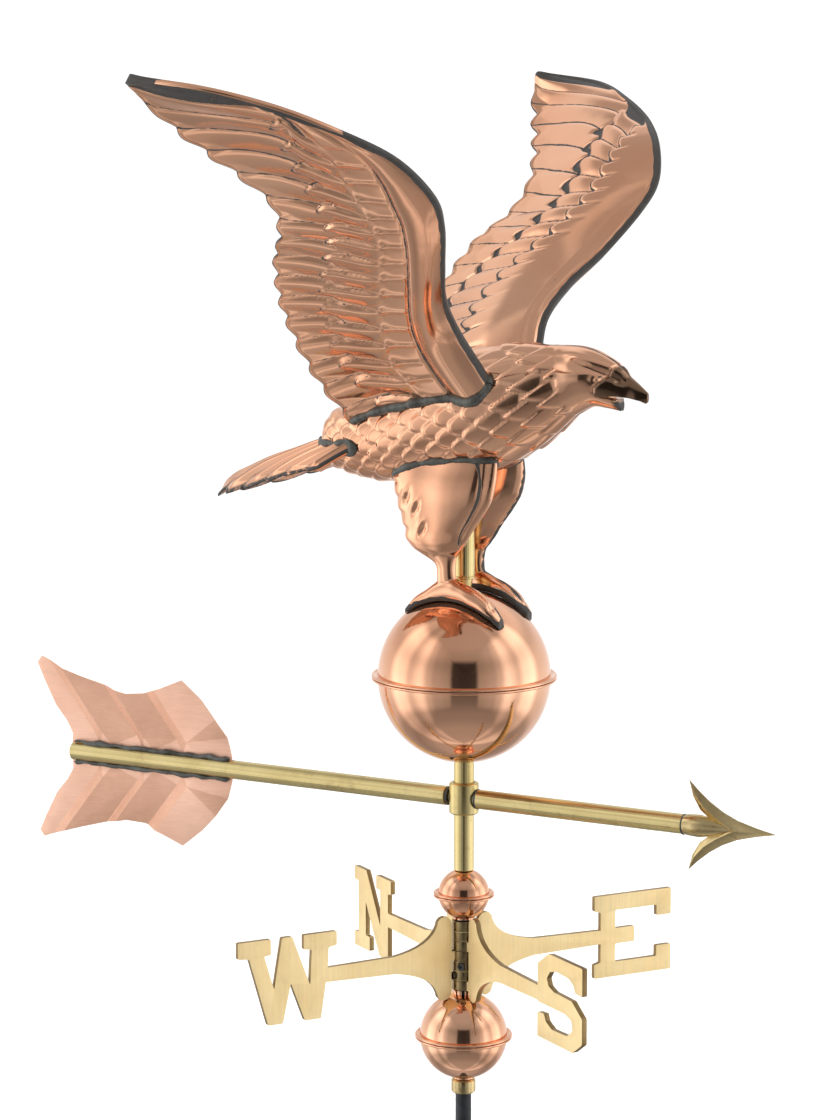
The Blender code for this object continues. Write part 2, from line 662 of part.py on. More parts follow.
def build_body():
    mouth = prism("mouth", [(x * MM, z * MM) for x, z in MOUTH], -20 * MM, 20 * MM)
    post_hole = cylinder("post_hole", TUBE_RADIUS + GAP, (0, 0, 400 * MM), (0, 0, 445 * MM), sides=32)
    for side, name in ((-1, "body_right"), (1, "body_left")):
        node = loft(name, [body_section(station, 0.0, side=side) for station in BODY], COPPER)
        sheet = BODY_SHEET / MM
        inside = [station for station in BODY if station[0] < CAVITY_END]
        inside[0] = (inside[0][0] + sheet, *inside[0][1:])
        cavity = loft(name + "_cavity", [body_section(station, -sheet, flat=-1.0, side=side)
                                         for station in inside])
        cut(node, cavity)
        cut(node, mouth)
        cut(node, post_hole)


# Wing edges of the right wing, root to tip, matched across the wing, in millimetres
LEADING_EDGE = [(36, -14, 462), (32, -32, 485), (26, -53, 511), (30, -75, 530), (42, -98, 549),
                (54, -120, 572), (57, -136, 589), (47, -158, 609), (28, -184, 624), (2, -206, 637),
                (-30, -229, 647), (-72, -234, 652)]
TRAILING_EDGE = [(-58, -12, 440), (-64, -30, 459), (-69, -50, 479), (-70, -72, 503), (-66, -95, 528),
                 (-56, -116, 552), (-43, -132, 567), (-38, -148, 584), (-46, -171, 601), (-57, -192, 616),
                 (-67, -210, 631), (-78, -228, 648)]
WING_SPAN_STEPS = 14
WING_CHORD_STEPS = 7
CAMBER = 4.0


def wing_middle(across, along):
    """Point of the right wing's middle surface: across 0..1 from leading edge, along 0..1 from root."""
    lead = spline(LEADING_EDGE, along)
    trail = spline(TRAILING_EDGE, along)
    return lead.lerp(trail, across)


def wing_normal(across, along):
    """Direction of the wing's upper, inner face."""
    step = 0.01
    chord = wing_middle(min(across + step, 1.0), along) - wing_middle(max(across - step, 0.0), along)
    span = wing_middle(across, min(along + step, 1.0)) - wing_middle(across, max(along - step, 0.0))
    normal = chord.cross(span)
    return normal.normalized() * (1 if normal.z > 0 else -1)


def wing_point(across, along, face):
    """Base of one sheet: face is 1 for the inner, upper sheet and -1 for the outer, lower one."""
    taper = 1.0 - 0.72 * along
    camber = CAMBER * math.sin(math.pi * across) * taper
    if face > 0:
        bulge = 7.5 * math.sin(math.pi * min(across / 0.9, 1.0) ** 0.75) ** 1.2
    else:
        bulge = 8.5 * math.sin(math.pi * min(across, 1.0) ** 0.5) ** 1.5
    offset = camber + face * (GAP / 2 / MM + bulge * taper)
    return wing_middle(across, along) + wing_normal(across, along) * offset


def build_wing_sheet(name, side, face, body_form):
    """One pressed sheet of a wing; side is -1 for the right wing and 1 for the left."""
    points = []
    faces = []
    for row in range(WING_SPAN_STEPS + 1):
        for column in range(WING_CHORD_STEPS + 1):
            across = smooth_step(column / WING_CHORD_STEPS) * 0.45 + column / WING_CHORD_STEPS * 0.55
            x, y, z = wing_point(across, row / WING_SPAN_STEPS, face)
            points.append((x * MM, -side * y * MM, z * MM))
    width = WING_CHORD_STEPS + 1
    for row in range(WING_SPAN_STEPS):
        for column in range(WING_CHORD_STEPS):
            start = row * width + column
            corners = (start, start + 1, start + width + 1, start + width)
            faces.append(corners if side * face < 0 else tuple(reversed(corners)))
    sheet = add_object(name, mesh_from(name, points, faces), COPPER)
    solid = sheet.modifiers.new("sheet", "SOLIDIFY")
    solid.thickness = SHEET
    solid.offset = 1.0
    cut(sheet, body_form)


# Tail fan: centre line and half width at stations from the root back: x, height, half width, droop
TAIL = [(-52.0, 447.5, 20.0, 5.0), (-62.0, 445.0, 33.0, 11.0), (-78.0, 440.0, 40.0, 15.0),
        (-99.0, 433.0, 35.0, 13.0), (-114.0, 427.5, 29.0, 11.5), (-130.0, 422.0, 22.0, 11.0),
        (-146.0, 415.5, 15.0, 9.0), (-160.0, 409.0, 9.0, 6.0), (-172.0, 399.0, 3.5, 1.0)]
TAIL_SIDE_STEPS = 7
FEATHER_DEPTH = 1.2


def build_tail_sheet(name, face, body_form):
    """Upper (face 1) or lower (face -1) sheet of the fanned tail."""
    points = []
    faces = []
    columns = 2 * TAIL_SIDE_STEPS
    for x, height, half_width, droop in TAIL:
        for column in range(columns + 1):
            place = (column - TAIL_SIDE_STEPS) / TAIL_SIDE_STEPS
            ridge = FEATHER_DEPTH * (column % 2) * min(1.0, half_width / 20.0)
            dome = 2.2 * (1.0 - place * place) * min(1.0, half_width / 20.0)
            z = height - droop * abs(place) ** 1.6 + face * (GAP / 2 / MM + dome + ridge * (face > 0))
            points.append((x * MM, place * half_width * MM, z * MM))
    width = columns + 1
    for row in range(len(TAIL) - 1):
        for column in range(columns):
            start = row * width + column
            corners = (start, start + width, start + width + 1, start + 1)
            faces.append(corners if face < 0 else tuple(reversed(corners)))
    sheet = add_object(name, mesh_from(name, points, faces), COPPER)
    solid = sheet.modifiers.new("sheet", "SOLIDIFY")
    solid.thickness = SHEET
    solid.offset = 1.0
    cut(sheet, body_form)


# Leg sections from the top down: height, rear x, front x, half thickness, middle y
LEG = [(436.0, -34.0, 20.0, 8.5, 15.2), (419.0, -37.0, 29.0, 11.0, 17.6), (410.0, -35.0, 27.0, 11.0, 17.6),
       (402.0, -33.0, 22.0, 10.0, 17.6), (393.0, -30.0, 15.5, 8.5, 17.5), (385.0, -27.5, 10.0, 7.0, 17.5),
       (378.5, -21.0, 6.0, 5.8, 17.5), (373.0, -11.0, 4.5, 5.0, 17.5), (366.0, -9.0, 4.5, 4.8, 17.5),
       (359.0, -10.0, 7.0, 5.0, 17.5)]
# Foot sections from heel to toe: x, top height, half width
FOOT = [(-28.5, 345.5, 2.5), (-23.0, 351.5, 4.2), (-15.0, 357.0, 5.0), (-7.0, 362.5, 5.5), (2.0, 364.5, 6.0),
        (10.0, 361.5, 6.2), (19.0, 357.5, 6.0), (27.0, 351.5, 5.5), (33.5, 343.5, 3.0)]
FOOT_MIDDLE = 17.5
LEG_POINTS = 6


def ball_top_height(x, y):
    """Height of the ball's surface, in millimetres, grown by the gap."""
    height, radius, _ = BALL
    reach = (radius + GAP) / MM
    return height / MM + math.sqrt(max(reach * reach - x * x - y * y, 0.0))


def half_ring(long_reach, side_reach):
    """A half-round sheet section: its outer side from end to end, then its inner side back."""
    sheet = SHEET / MM
    outer = arc(0.0, 0.0, 1.0, 0, 180, LEG_POINTS)
    ring = [(x * long_reach, y * side_reach) for x, y in outer]
    ring += [(x * (long_reach - sheet), y * (side_reach - sheet)) for x, y in reversed(outer)]
    return ring


def build_leg_half(name, side, half, body_form, ball_form):
    """One pressed half of a leg and its foot: half is 1 for the outer side, -1 for the inner side."""
    seam = half * GAP / 2 / MM
    shank = []
    for height, rear, front, thick, middle in LEG:
        ring = []
        for along, out in half_ring((front - rear) / 2, thick):
            ring.append((((rear + front) / 2 + along) * MM, side * (middle + seam + half * out) * MM,
                         height * MM))
        shank.append(ring)
    node = loft(name, shank, COPPER)
    foot = []
    for x, top, half_width in FOOT:
        bottom = ball_top_height(x, FOOT_MIDDLE) - 2.0
        ring = []
        for up, out in half_ring((top - bottom) / 2, half_width):
            ring.append((x * MM, side * (FOOT_MIDDLE + seam + half * out) * MM, ((top + bottom) / 2 + up) * MM))
        foot.append(ring)
    cut(node, loft(name + "_foot", foot), "UNION")
    cut(node, body_form)
    cut(node, ball_form)


def build_eagle():
    build_body()
    body_form = body_cutter()
    ball_form = turned("ball_form", arc(0.0, BALL[0], BALL[1] + GAP, 90, -90, 20), None, steps=40, closed=False)
    for side, name in ((WING_RIGHT, "right"), (WING_LEFT, "left")):
        build_wing_sheet(f"wing_{name}_outer", side, -1, body_form)
        build_wing_sheet(f"wing_{name}_inner", side, 1, body_form)
        build_leg_half(f"leg_{name}_outer", side, 1, body_form, ball_form)
        build_leg_half(f"leg_{name}_inner", side, -1, body_form, ball_form)
    build_tail_sheet("tail_top", 1, body_form)
    build_tail_sheet("tail_bottom", -1, body_form)


build_rod()
build_collar()
build_globes()
for direction in LETTERS:
    build_direction(direction)
build_spindle()
build_arrow_hub()
build_arrow_shafts()
build_fletching()
build_arrow_head()
build_ball()
build_eagle()
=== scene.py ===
"""The finished look of the weather vane: fine copper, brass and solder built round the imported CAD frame."""
import math

import bmesh
import bpy
import numpy as np
from mathutils import Matrix, Vector


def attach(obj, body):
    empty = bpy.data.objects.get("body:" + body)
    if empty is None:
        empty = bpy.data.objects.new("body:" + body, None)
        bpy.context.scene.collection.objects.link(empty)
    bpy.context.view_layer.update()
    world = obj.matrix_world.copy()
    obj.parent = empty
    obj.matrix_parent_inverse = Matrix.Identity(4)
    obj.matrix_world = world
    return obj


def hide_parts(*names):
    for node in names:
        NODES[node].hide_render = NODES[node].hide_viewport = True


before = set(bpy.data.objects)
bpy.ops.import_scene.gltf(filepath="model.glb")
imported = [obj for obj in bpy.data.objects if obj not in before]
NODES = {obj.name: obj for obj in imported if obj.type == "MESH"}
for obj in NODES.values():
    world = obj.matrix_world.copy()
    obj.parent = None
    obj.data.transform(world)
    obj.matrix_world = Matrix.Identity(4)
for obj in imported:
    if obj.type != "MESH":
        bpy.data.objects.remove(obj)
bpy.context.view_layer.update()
MM = 0.001


# ---------------------------------------------------------------- camera, floor and light

VIEW_AZIMUTH = math.radians(29.0)
AIM_AZIMUTH = math.radians(29.75)
PITCH = math.radians(8.3)
CAMERA_PLACE = (0.9583, -1.7288, 0.661)
LENS = 110.25
SENSOR = 36.0
FLOOR_RADIUS = 30.0
FLOOR_DROP = 0.0005


def add_object(name, data):
    """A new object, linked into the scene."""
    item = bpy.data.objects.new(name, data)
    bpy.context.scene.collection.objects.link(item)
    return item


def add_camera():
    data = bpy.data.cameras.new("camera")
    data.lens = LENS
    data.sensor_fit = "AUTO"
    data.sensor_width = SENSOR
    camera = add_object("camera", data)
    level = Vector((-math.sin(AIM_AZIMUTH), math.cos(AIM_AZIMUTH), 0.0))
    forward = level * math.cos(PITCH) - Vector((0, 0, math.sin(PITCH)))
    right = Vector((math.cos(AIM_AZIMUTH), math.sin(AIM_AZIMUTH), 0.0))
    up = right.cross(forward)
    turn = Matrix((right, up, -forward)).transposed()
    camera.matrix_world = Matrix.Translation(CAMERA_PLACE) @ turn.to_4x4()
    bpy.context.scene.camera = camera


def add_floor():
    """A wide pale disc. Polished metal reflects the studio round it instead of the disc."""
    work = bmesh.new()
    bmesh.ops.create_circle(work, cap_ends=True, segments=96, radius=FLOOR_RADIUS)
    bmesh.ops.translate(work, vec=(0, 0, -FLOOR_DROP), verts=work.verts)
    mesh = bpy.data.meshes.new("floor")
    work.to_mesh(mesh)
    work.free()
    floor = add_object("floor", mesh)
    floor.visible_glossy = False
    material = bpy.data.materials.new("floor")
    material.use_nodes = True
    nodes = material.node_tree.nodes
    links = material.node_tree.links
    shader = nodes["Principled BSDF"]
    shader.inputs["Roughness"].default_value = 0.9
    shader.inputs["Specular IOR Level"].default_value = 0.1
    grain = nodes.new("ShaderNodeTexNoise")
    grain.inputs["Scale"].default_value = 3.0
    ramp = nodes.new("ShaderNodeValToRGB")
    ramp.color_ramp.elements[0].color = (0.95, 0.95, 0.95, 1)
    ramp.color_ramp.elements[1].color = (0.98, 0.98, 0.98, 1)
    links.new(grain.outputs["Fac"], ramp.inputs["Fac"])
    links.new(ramp.outputs["Color"], shader.inputs["Base Color"])
    mesh.materials.append(material)


# Studio walls as seen from the object: turn from the camera's direction in half turns, brightness
WALLS = [(0.0, 0.04), (0.08, 0.05), (0.115, 0.40), (0.22, 0.50), (0.27, 0.70), (0.34, 1.35), (0.43, 0.90),
         (0.50, 1.5), (0.58, 1.7), (0.66, 0.9), (0.86, 0.92), (1.0, 1.0)]
# The same for height above the horizon: elevation in quarter turns, brightness multiplier
HEIGHTS = [(-1.0, 0.62), (-0.74, 0.50), (-0.60, 0.30), (-0.44, 0.42), (-0.30, 0.85), (-0.10, 1.08),
           (0.06, 0.95), (0.24, 0.75), (0.42, 1.0), (0.50, 0.95), (0.62, 0.42), (1.0, 0.36)]
# The least brightness in any direction, by elevation; it keeps the dark gap in front near the horizon
LEAST = [(-1.0, 0.46), (-0.72, 0.40), (-0.50, 0.28), (-0.20, 0.16), (-0.10, 0.03), (0.27, 0.03),
         (0.36, 0.36), (0.55, 0.45), (1.0, 0.45)]
# The brightest values the first two ramps can hold; their product brings the sum back to scale
WALLS_TOP, HEIGHTS_TOP = 2.0, 1.25
STUDIO_STRENGTH = WALLS_TOP * HEIGHTS_TOP
PLAIN_STRENGTH = 1.10
LIGHT_AIM = Vector((0.0, 0.0, 0.38))


def grey_ramp(nodes, links, source, stops, low, top):
    """Map a value through (position, grey) stops; positions run from low to 1, greys up to top."""
    ramp = nodes.new("ShaderNodeValToRGB")
    ramp.color_ramp.interpolation = "EASE"
    elements = ramp.color_ramp.elements
    while len(elements) < len(stops):
        elements.new(0.5)
    for element, (place, grey) in zip(elements, stops):
        element.position = (place - low) / (1.0 - low)
        value = grey / top
        element.color = (value, value, value, 1.0)
    links.new(source, ramp.inputs["Fac"])
    return ramp.outputs["Color"]


def feed(links, socket, value):
    """Give a node's input a number, a colour or another node's output."""
    if isinstance(value, tuple):
        socket.default_value = (*value, 1.0)
    elif isinstance(value, (int, float)):
        socket.default_value = value
    else:
        links.new(value, socket)


def math_node(nodes, links, operation, first, second=None):
    node = nodes.new("ShaderNodeMath")
    node.operation = operation
    feed(links, node.inputs[0], first)
    if second is not None:
        feed(links, node.inputs[1], second)
    return node.outputs[0]


def mix_node(nodes, links, factor, first, second, blend_type):
    node = nodes.new("ShaderNodeMix")
    node.data_type = "RGBA"
    node.blend_type = blend_type
    for socket, value in (("Factor", factor), ("A", first), ("B", second)):
        feed(links, node.inputs[socket], value)
    return node.outputs["Result"]


def add_studio_world():
    """White to the eye. In reflections, a studio with light walls, a dark gap in front and bright bars."""
    world = bpy.data.worlds.new("studio")
    bpy.context.scene.world = world
    world.use_nodes = True
    nodes = world.node_tree.nodes
    links = world.node_tree.links

    def reckon(operation, first, second=None):
        return math_node(nodes, links, operation, first, second)

    turn = nodes.new("ShaderNodeVectorRotate")
    turn.rotation_type = "Z_AXIS"
    turn.inputs["Angle"].default_value = math.radians(90.0) - VIEW_AZIMUTH
    links.new(nodes.new("ShaderNodeTexCoord").outputs["Generated"], turn.inputs["Vector"])
    split = nodes.new("ShaderNodeSeparateXYZ")
    links.new(turn.outputs["Vector"], split.inputs["Vector"])
    angle = reckon("ARCTAN2", split.outputs["Y"], split.outputs["X"])
    half_turns = reckon("ABSOLUTE", reckon("DIVIDE", angle, math.pi))
    walls = grey_ramp(nodes, links, half_turns, WALLS, 0.0, WALLS_TOP)
    quarter_turns = reckon("DIVIDE", reckon("ARCSINE", split.outputs["Z"]), math.pi / 2)
    rise = reckon("ADD", reckon("MULTIPLY", quarter_turns, 0.5), 0.5)
    heights = grey_ramp(nodes, links, rise, HEIGHTS, -1.0, HEIGHTS_TOP)
    least = grey_ramp(nodes, links, rise, LEAST, -1.0, STUDIO_STRENGTH)
    room = mix_node(nodes, links, 1.0, walls, heights, "MULTIPLY")
    room = mix_node(nodes, links, 1.0, room, least, "LIGHTEN")
    studio = nodes["Background"]
    links.new(room, studio.inputs["Color"])
    studio.inputs["Strength"].default_value = STUDIO_STRENGTH
    plain = nodes.new("ShaderNodeBackground")
    plain.inputs["Color"].default_value = (1.0, 1.0, 1.0, 1.0)
    plain.inputs["Strength"].default_value = PLAIN_STRENGTH
    ray = nodes.new("ShaderNodeLightPath")
    pick = nodes.new("ShaderNodeMixShader")
    links.new(ray.outputs["Is Glossy Ray"], pick.inputs["Fac"])
    links.new(plain.outputs["Background"], pick.inputs[1])
    links.new(studio.outputs["Background"], pick.inputs[2])
    links.new(pick.outputs["Shader"], nodes["World Output"].inputs["Surface"])


def add_light(name, turn, elevation, distance, size, power):
    """A soft light for the matt surfaces: turn is degrees right of the camera, seen from the object."""
    data = bpy.data.lights.new(name, "AREA")
    data.shape = "RECTANGLE"
    data.size, data.size_y = size
    data.energy = power
    light = add_object(name, data)
    light.visible_glossy = False
    heading = VIEW_AZIMUTH - math.radians(90.0) + math.radians(turn)
    rise = math.radians(elevation)
    level = math.cos(rise)
    away = Vector((math.cos(heading) * level, math.sin(heading) * level, math.sin(rise)))
    light.location = LIGHT_AIM + away * distance
    light.rotation_euler = (-away).to_track_quat("-Z", "Y").to_euler()


def add_studio():
    add_camera()
    add_floor()
    add_studio_world()
    add_light("key_right", 62.0, 28.0, 2.2, (0.55, 1.5), 22.0)
    add_light("key_left", -58.0, 20.0, 2.2, (0.55, 1.5), 24.0)
    add_light("overhead", 150.0, 62.0, 2.4, (1.0, 1.0), 14.0)
    bpy.context.scene.view_settings.view_transform = "Standard"


# ---------------------------------------------------------------- materials

class Look:
    """A node material being put together."""

    def __init__(self, name, roughness, metallic=1.0):
        self.material = bpy.data.materials.new(name)
        self.material.use_nodes = True
        self.nodes = self.material.node_tree.nodes
        self.links = self.material.node_tree.links
        self.shader = self.nodes["Principled BSDF"]
        self.shader.inputs["Metallic"].default_value = metallic
        self.shader.inputs["Roughness"].default_value = roughness
        self.place = self.nodes.new("ShaderNodeTexCoord").outputs["Object"]

    def noise(self, scale, detail=3.0, stretch=(1.0, 1.0, 1.0), roughness=0.55):
        mapping = self.nodes.new("ShaderNodeMapping")
        mapping.inputs["Scale"].default_value = stretch
        self.links.new(self.place, mapping.inputs["Vector"])
        noise = self.nodes.new("ShaderNodeTexNoise")
        noise.inputs["Scale"].default_value = scale
        noise.inputs["Detail"].default_value = detail
        noise.inputs["Roughness"].default_value = roughness
        self.links.new(mapping.outputs["Vector"], noise.inputs["Vector"])
        return noise.outputs["Fac"]

    def attribute(self, name):
        node = self.nodes.new("ShaderNodeAttribute")
        node.attribute_name = name
        return node.outputs["Fac"]

    def ramp(self, source, stops):
        """Map a value through (position, colour or grey) stops."""
        ramp = self.nodes.new("ShaderNodeValToRGB")
        elements = ramp.color_ramp.elements
        while len(elements) < len(stops):
            elements.new(0.5)
        for element, (position, colour) in zip(elements, stops):
            element.position = position
            if isinstance(colour, (int, float)):
                colour = (colour, colour, colour)
            element.color = (*colour, 1.0)
        self.links.new(source, ramp.inputs["Fac"])
        return ramp.outputs["Color"]

    def mix(self, factor, first, second, blend_type="MIX"):
        return mix_node(self.nodes, self.links, factor, first, second, blend_type)

    def value(self, operation, first, second=None):
        return math_node(self.nodes, self.links, operation, first, second)

    def colour(self, source):
        self.links.new(source, self.shader.inputs["Base Color"])

    def rough(self, source):
        self.links.new(source, self.shader.inputs["Roughness"])

    def metal(self, source):
        self.links.new(source, self.shader.inputs["Metallic"])

    def bump(self, source, strength, distance):
        node = self.nodes.new("ShaderNodeBump")
        node.inputs["Strength"].default_value = strength
        node.inputs["Distance"].default_value = distance
        self.links.new(source, node.inputs["Height"])
        if self.shader.inputs["Normal"].is_linked:
            self.links.new(self.shader.inputs["Normal"].links[0].from_socket, node.inputs["Normal"])
        self.links.new(node.outputs["Normal"], self.shader.inputs["Normal"])


COPPER_LIGHT = (0.95, 0.535, 0.345)
COPPER_DEEP = (0.90, 0.46, 0.28)
COPPER_RED = (0.85, 0.29, 0.15)
# Dark tones for the marked areas: real solder and patina, and painted shade in valleys, grooves and creases.
SOLDER_AND_SHADE = (0.060, 0.058, 0.055)
PATINA_AND_SHADE = (0.030, 0.024, 0.020)
BRONZE = (0.27, 0.165, 0.105)


def copper_look(name, roughness, ripple):
    """Polished copper with faint waviness; solder and patina marks darken edges and painted shade darkens
    valleys, warm areas redden.
    """
    look = Look(name, roughness)
    broad = look.noise(14.0, 2.0)
    base = look.mix(look.ramp(broad, [(0.35, 0.0), (0.65, 1.0)]), COPPER_LIGHT, COPPER_DEEP)
    base = look.mix(look.attribute("heat"), base, COPPER_RED)
    base = look.mix(look.attribute("bronze"), base, BRONZE)
    stain = look.noise(170.0, 4.0, roughness=0.65)
    spread = look.value("MULTIPLY", look.value("SUBTRACT", stain, 0.5), 0.7)
    # The mark holds real solder and patina on seams and rims, and painted shade in valleys, grooves and
    # creases.
    mark = look.value("ADD", look.attribute("patina"), spread)
    dark = look.ramp(mark, [(0.44, 0.0), (0.60, 1.0)])
    fine = look.noise(260.0, 4.0)
    rough = look.ramp(fine, [(0.3, roughness * 0.8), (0.75, roughness * 1.25)])
    look.metal(look.ramp(dark, [(0.0, 1.0), (1.0, 0.35)]))
    look.colour(look.mix(dark, base, look.mix(stain, PATINA_AND_SHADE, SOLDER_AND_SHADE)))
    look.rough(look.mix(dark, rough, (0.42, 0.42, 0.42)))
    look.bump(look.noise(30.0, 2.0), ripple, 0.0012)
    look.bump(fine, 0.05, 0.0002)
    return look.material


def satin_copper_look(name, deep, light):
    """Matt, faintly blotched copper sheet with rolling marks."""
    look = Look(name, 0.5, 0.7)
    blotch = look.noise(22.0, 4.0)
    base = look.ramp(blotch, [(0.3, deep), (0.7, light)])
    lines = look.noise(900.0, 2.0, (0.02, 1.0, 1.0))
    base = look.mix(0.12, base, look.ramp(lines, [(0.3, 0.35), (0.7, 1.0)]), "MULTIPLY")
    look.colour(base)
    look.rough(look.ramp(look.noise(60.0, 4.0), [(0.3, 0.44), (0.7, 0.58)]))
    look.bump(lines, 0.08, 0.0002)
    look.bump(look.noise(40.0, 2.0), 0.15, 0.0004)
    return look.material


def brass_look(name, colour, deep, roughness, stretch, tarnish, metallic=1.0):
    """Brass with drawn or brushed lines along one axis, and brown tarnish in broad soft patches."""
    look = Look(name, roughness, metallic)
    lines = look.noise(700.0, 3.0, stretch)
    base = look.mix(look.ramp(look.noise(35.0, 4.0), [(0.35, 0.0), (0.7, 1.0)]), colour, deep)
    stain = look.ramp(look.noise(90.0, 5.0, roughness=0.7), [(0.56, 0.0), (0.74, 1.0)])
    base = look.mix(look.value("MULTIPLY", stain, tarnish), base, (0.20, 0.11, 0.04))
    base = look.mix(0.22, base, look.ramp(lines, [(0.3, 0.45), (0.7, 1.0)]), "MULTIPLY")
    look.colour(base)
    look.rough(look.ramp(lines, [(0.25, roughness * 0.75), (0.75, roughness * 1.3)]))
    look.bump(lines, 0.10, 0.0002)
    return look.material


def plain_metal_look(name, colour, deep, roughness, metallic, grain=500.0):
    """Steel, solder or blackened metal with a fine uneven surface."""
    look = Look(name, roughness, metallic)
    look.colour(look.ramp(look.noise(120.0, 5.0), [(0.3, deep), (0.7, colour)]))
    look.rough(look.ramp(look.noise(grain, 3.0), [(0.3, roughness * 0.7), (0.7, roughness * 1.3)]))
    look.bump(look.noise(grain, 4.0), 0.25, 0.0003)
    return look.material


EAGLE_COPPER = copper_look("copper_eagle", 0.13, 0.35)
BALL_COPPER = copper_look("copper_polished", 0.085, 0.10)
SATIN_COPPER = satin_copper_look("copper_satin", (0.80, 0.47, 0.34), (0.88, 0.56, 0.42))
# A darker copy of the satin copper: painted shade for the narrow fold faces.
SHADED_FOLD_COPPER = satin_copper_look("copper_satin_fold_painted_shade", (0.66, 0.37, 0.25), (0.76, 0.45, 0.32))
TUBE_BRASS = brass_look("brass_tube", (0.80, 0.65, 0.31), (0.70, 0.55, 0.24), 0.27, (1.0, 1.0, 0.03), 0.4)
SHAFT_BRASS = brass_look("brass_shaft", (0.78, 0.64, 0.31), (0.68, 0.54, 0.24), 0.27, (0.03, 1.0, 1.0), 0.4)
CAST_BRASS = brass_look("brass_cast", (0.74, 0.58, 0.30), (0.58, 0.44, 0.22), 0.20, (0.4, 1.0, 1.0), 0.6)
LETTER_BRASS = brass_look("brass_letter", (0.86, 0.68, 0.37), (0.80, 0.60, 0.30), 0.50, (1.0, 1.0, 0.03),
                          0.12, 0.55)
RING_BRASS = brass_look("brass_ring", (0.50, 0.38, 0.19), (0.26, 0.19, 0.10), 0.30, (1.0, 1.0, 0.3), 0.9)
EDGE_BRASS = brass_look("brass_edge", (0.45, 0.31, 0.14), (0.26, 0.17, 0.08), 0.40, (0.5, 1.0, 0.5), 0.8)
BLACK_STEEL = plain_metal_look("rod_steel", (0.035, 0.037, 0.042), (0.018, 0.018, 0.020), 0.36, 0.6)
SCREW_STEEL = plain_metal_look("screw_steel", (0.20, 0.19, 0.18), (0.09, 0.085, 0.08), 0.34, 1.0)
SOLDER_METAL = plain_metal_look("solder", (0.125, 0.128, 0.118), (0.040, 0.038, 0.034), 0.36, 0.6, 260.0)


# ---------------------------------------------------------------- mesh helpers

def new_piece(name, mesh, material, body, replaced=()):
    """Put a finished mesh in the scene, riding on a body and standing for its CAD nodes."""
    piece = add_object(name, mesh)
    if not mesh.materials:
        mesh.materials.append(material)
    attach(piece, body)
    if replaced:
        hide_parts(*replaced)
    return piece


def mesh_of(name, points, faces):
    """A smooth-shaded mesh whose faces point outward; points are in millimetres."""
    mesh = bpy.data.meshes.new(name)
    mesh.from_pydata((np.asarray(points) * MM).tolist(), [], faces)
    work = bmesh.new()
    work.from_mesh(mesh)
    bmesh.ops.recalc_face_normals(work, faces=work.faces)
    work.to_mesh(mesh)
    work.free()
    mesh.shade_smooth()
    return mesh


def put_marks(mesh, **marks):
    """Store point attributes, each given as one array, or as one array for each side of a sheet."""
    for name, values in marks.items():
        layer = mesh.attributes.new(name, "FLOAT", "POINT")
        layer.data.foreach_set("value", np.asarray(values, dtype=np.float32).ravel())


def positions(mesh):
    """The mesh's points as an array, in millimetres."""
    flat = np.empty(len(mesh.vertices) * 3, dtype=np.float32)
    mesh.vertices.foreach_get("co", flat)
    return flat.reshape(-1, 3).astype(float) / MM


def smooth(value, low=0.0, high=1.0):
    """A soft step from 0 below low to 1 above high."""
    part = np.clip((value - low) / (high - low), 0.0, 1.0)
    return part * part * (3.0 - 2.0 * part)


def drop(value, low, high):
    """A soft step from 1 below low to 0 above high."""
    return 1.0 - smooth(value, low, high)


def blend(first, second, part):
    """The first where part is 0, the second where it is 1."""
    return first * (1.0 - part) + second * part


def soften(grid, times):
    """Average every value with its neighbours, to round off steps finer than the grid."""
    for _ in range(times):
        wide = np.pad(grid, 1, mode="edge")
        grid = (4 * grid + wide[:-2, 1:-1] + wide[2:, 1:-1] + wide[1:-1, :-2] + wide[1:-1, 2:]) / 8
    return grid


def spot(distance, width):
    return np.exp(-(distance / width) ** 2)


def waver(x, y, z, size, seed=0.0):
    """A cheap smooth irregularity between about -1 and 1, with features of roughly the given size."""
    k = 2.0 * np.pi / size
    first = np.sin(k * (0.8 * x + 0.5 * y + 0.3 * z) + 1.3 + seed)
    second = np.sin(k * (-0.4 * x + 0.9 * y + 0.6 * z) * 1.37 + 4.1 + seed)
    third = np.sin(k * (0.5 * x - 0.3 * y + 1.1 * z) * 1.91 + 2.2 + seed * 2.0)
    return (first + second + third) / 3.0


def smooth_table(at, places, values):
    """A smooth curve through (place, value) pairs whose spacing may be uneven."""
    places = np.asarray(places, dtype=float)
    values = np.asarray(values, dtype=float)
    slopes = np.gradient(values, places)
    index = np.clip(np.searchsorted(places, at, side="right") - 1, 0, len(places) - 2)
    width = places[index + 1] - places[index]
    part = np.clip((at - places[index]) / width, 0.0, 1.0)
    rest = 1.0 - part
    return (values[index] * (1 + 2 * part) * rest ** 2 + slopes[index] * width * part * rest ** 2
            + values[index + 1] * part ** 2 * (3 - 2 * part) - slopes[index + 1] * width * part ** 2 * rest)


def edge_curve(table, at):
    """A smooth curve through 3-D points evenly spaced by index, for an array of places 0..1."""
    table = np.asarray(table, dtype=float)
    last = len(table) - 1
    place = np.clip(at, 0.0, 1.0) * last
    index = np.minimum(place.astype(int), last - 1)
    part = (place - index)[..., None]
    before = table[np.maximum(index - 1, 0)]
    start = table[index]
    end = table[index + 1]
    after = table[np.minimum(index + 2, last)]
    return 0.5 * (2 * start + (end - before) * part + (2 * before - 5 * start + 4 * end - after) * part ** 2
                  + (3 * start - before - 3 * end + after) * part ** 3)


def sweep(low, high, rows, columns):
    """Grids for a form swept along an axis: the place along it, and the angle round it."""
    along = np.linspace(low, high, rows)[:, None] * np.ones(columns)
    angle = np.linspace(0.0, 2 * np.pi, columns, endpoint=False)[None, :] * np.ones((rows, 1))
    return along, angle


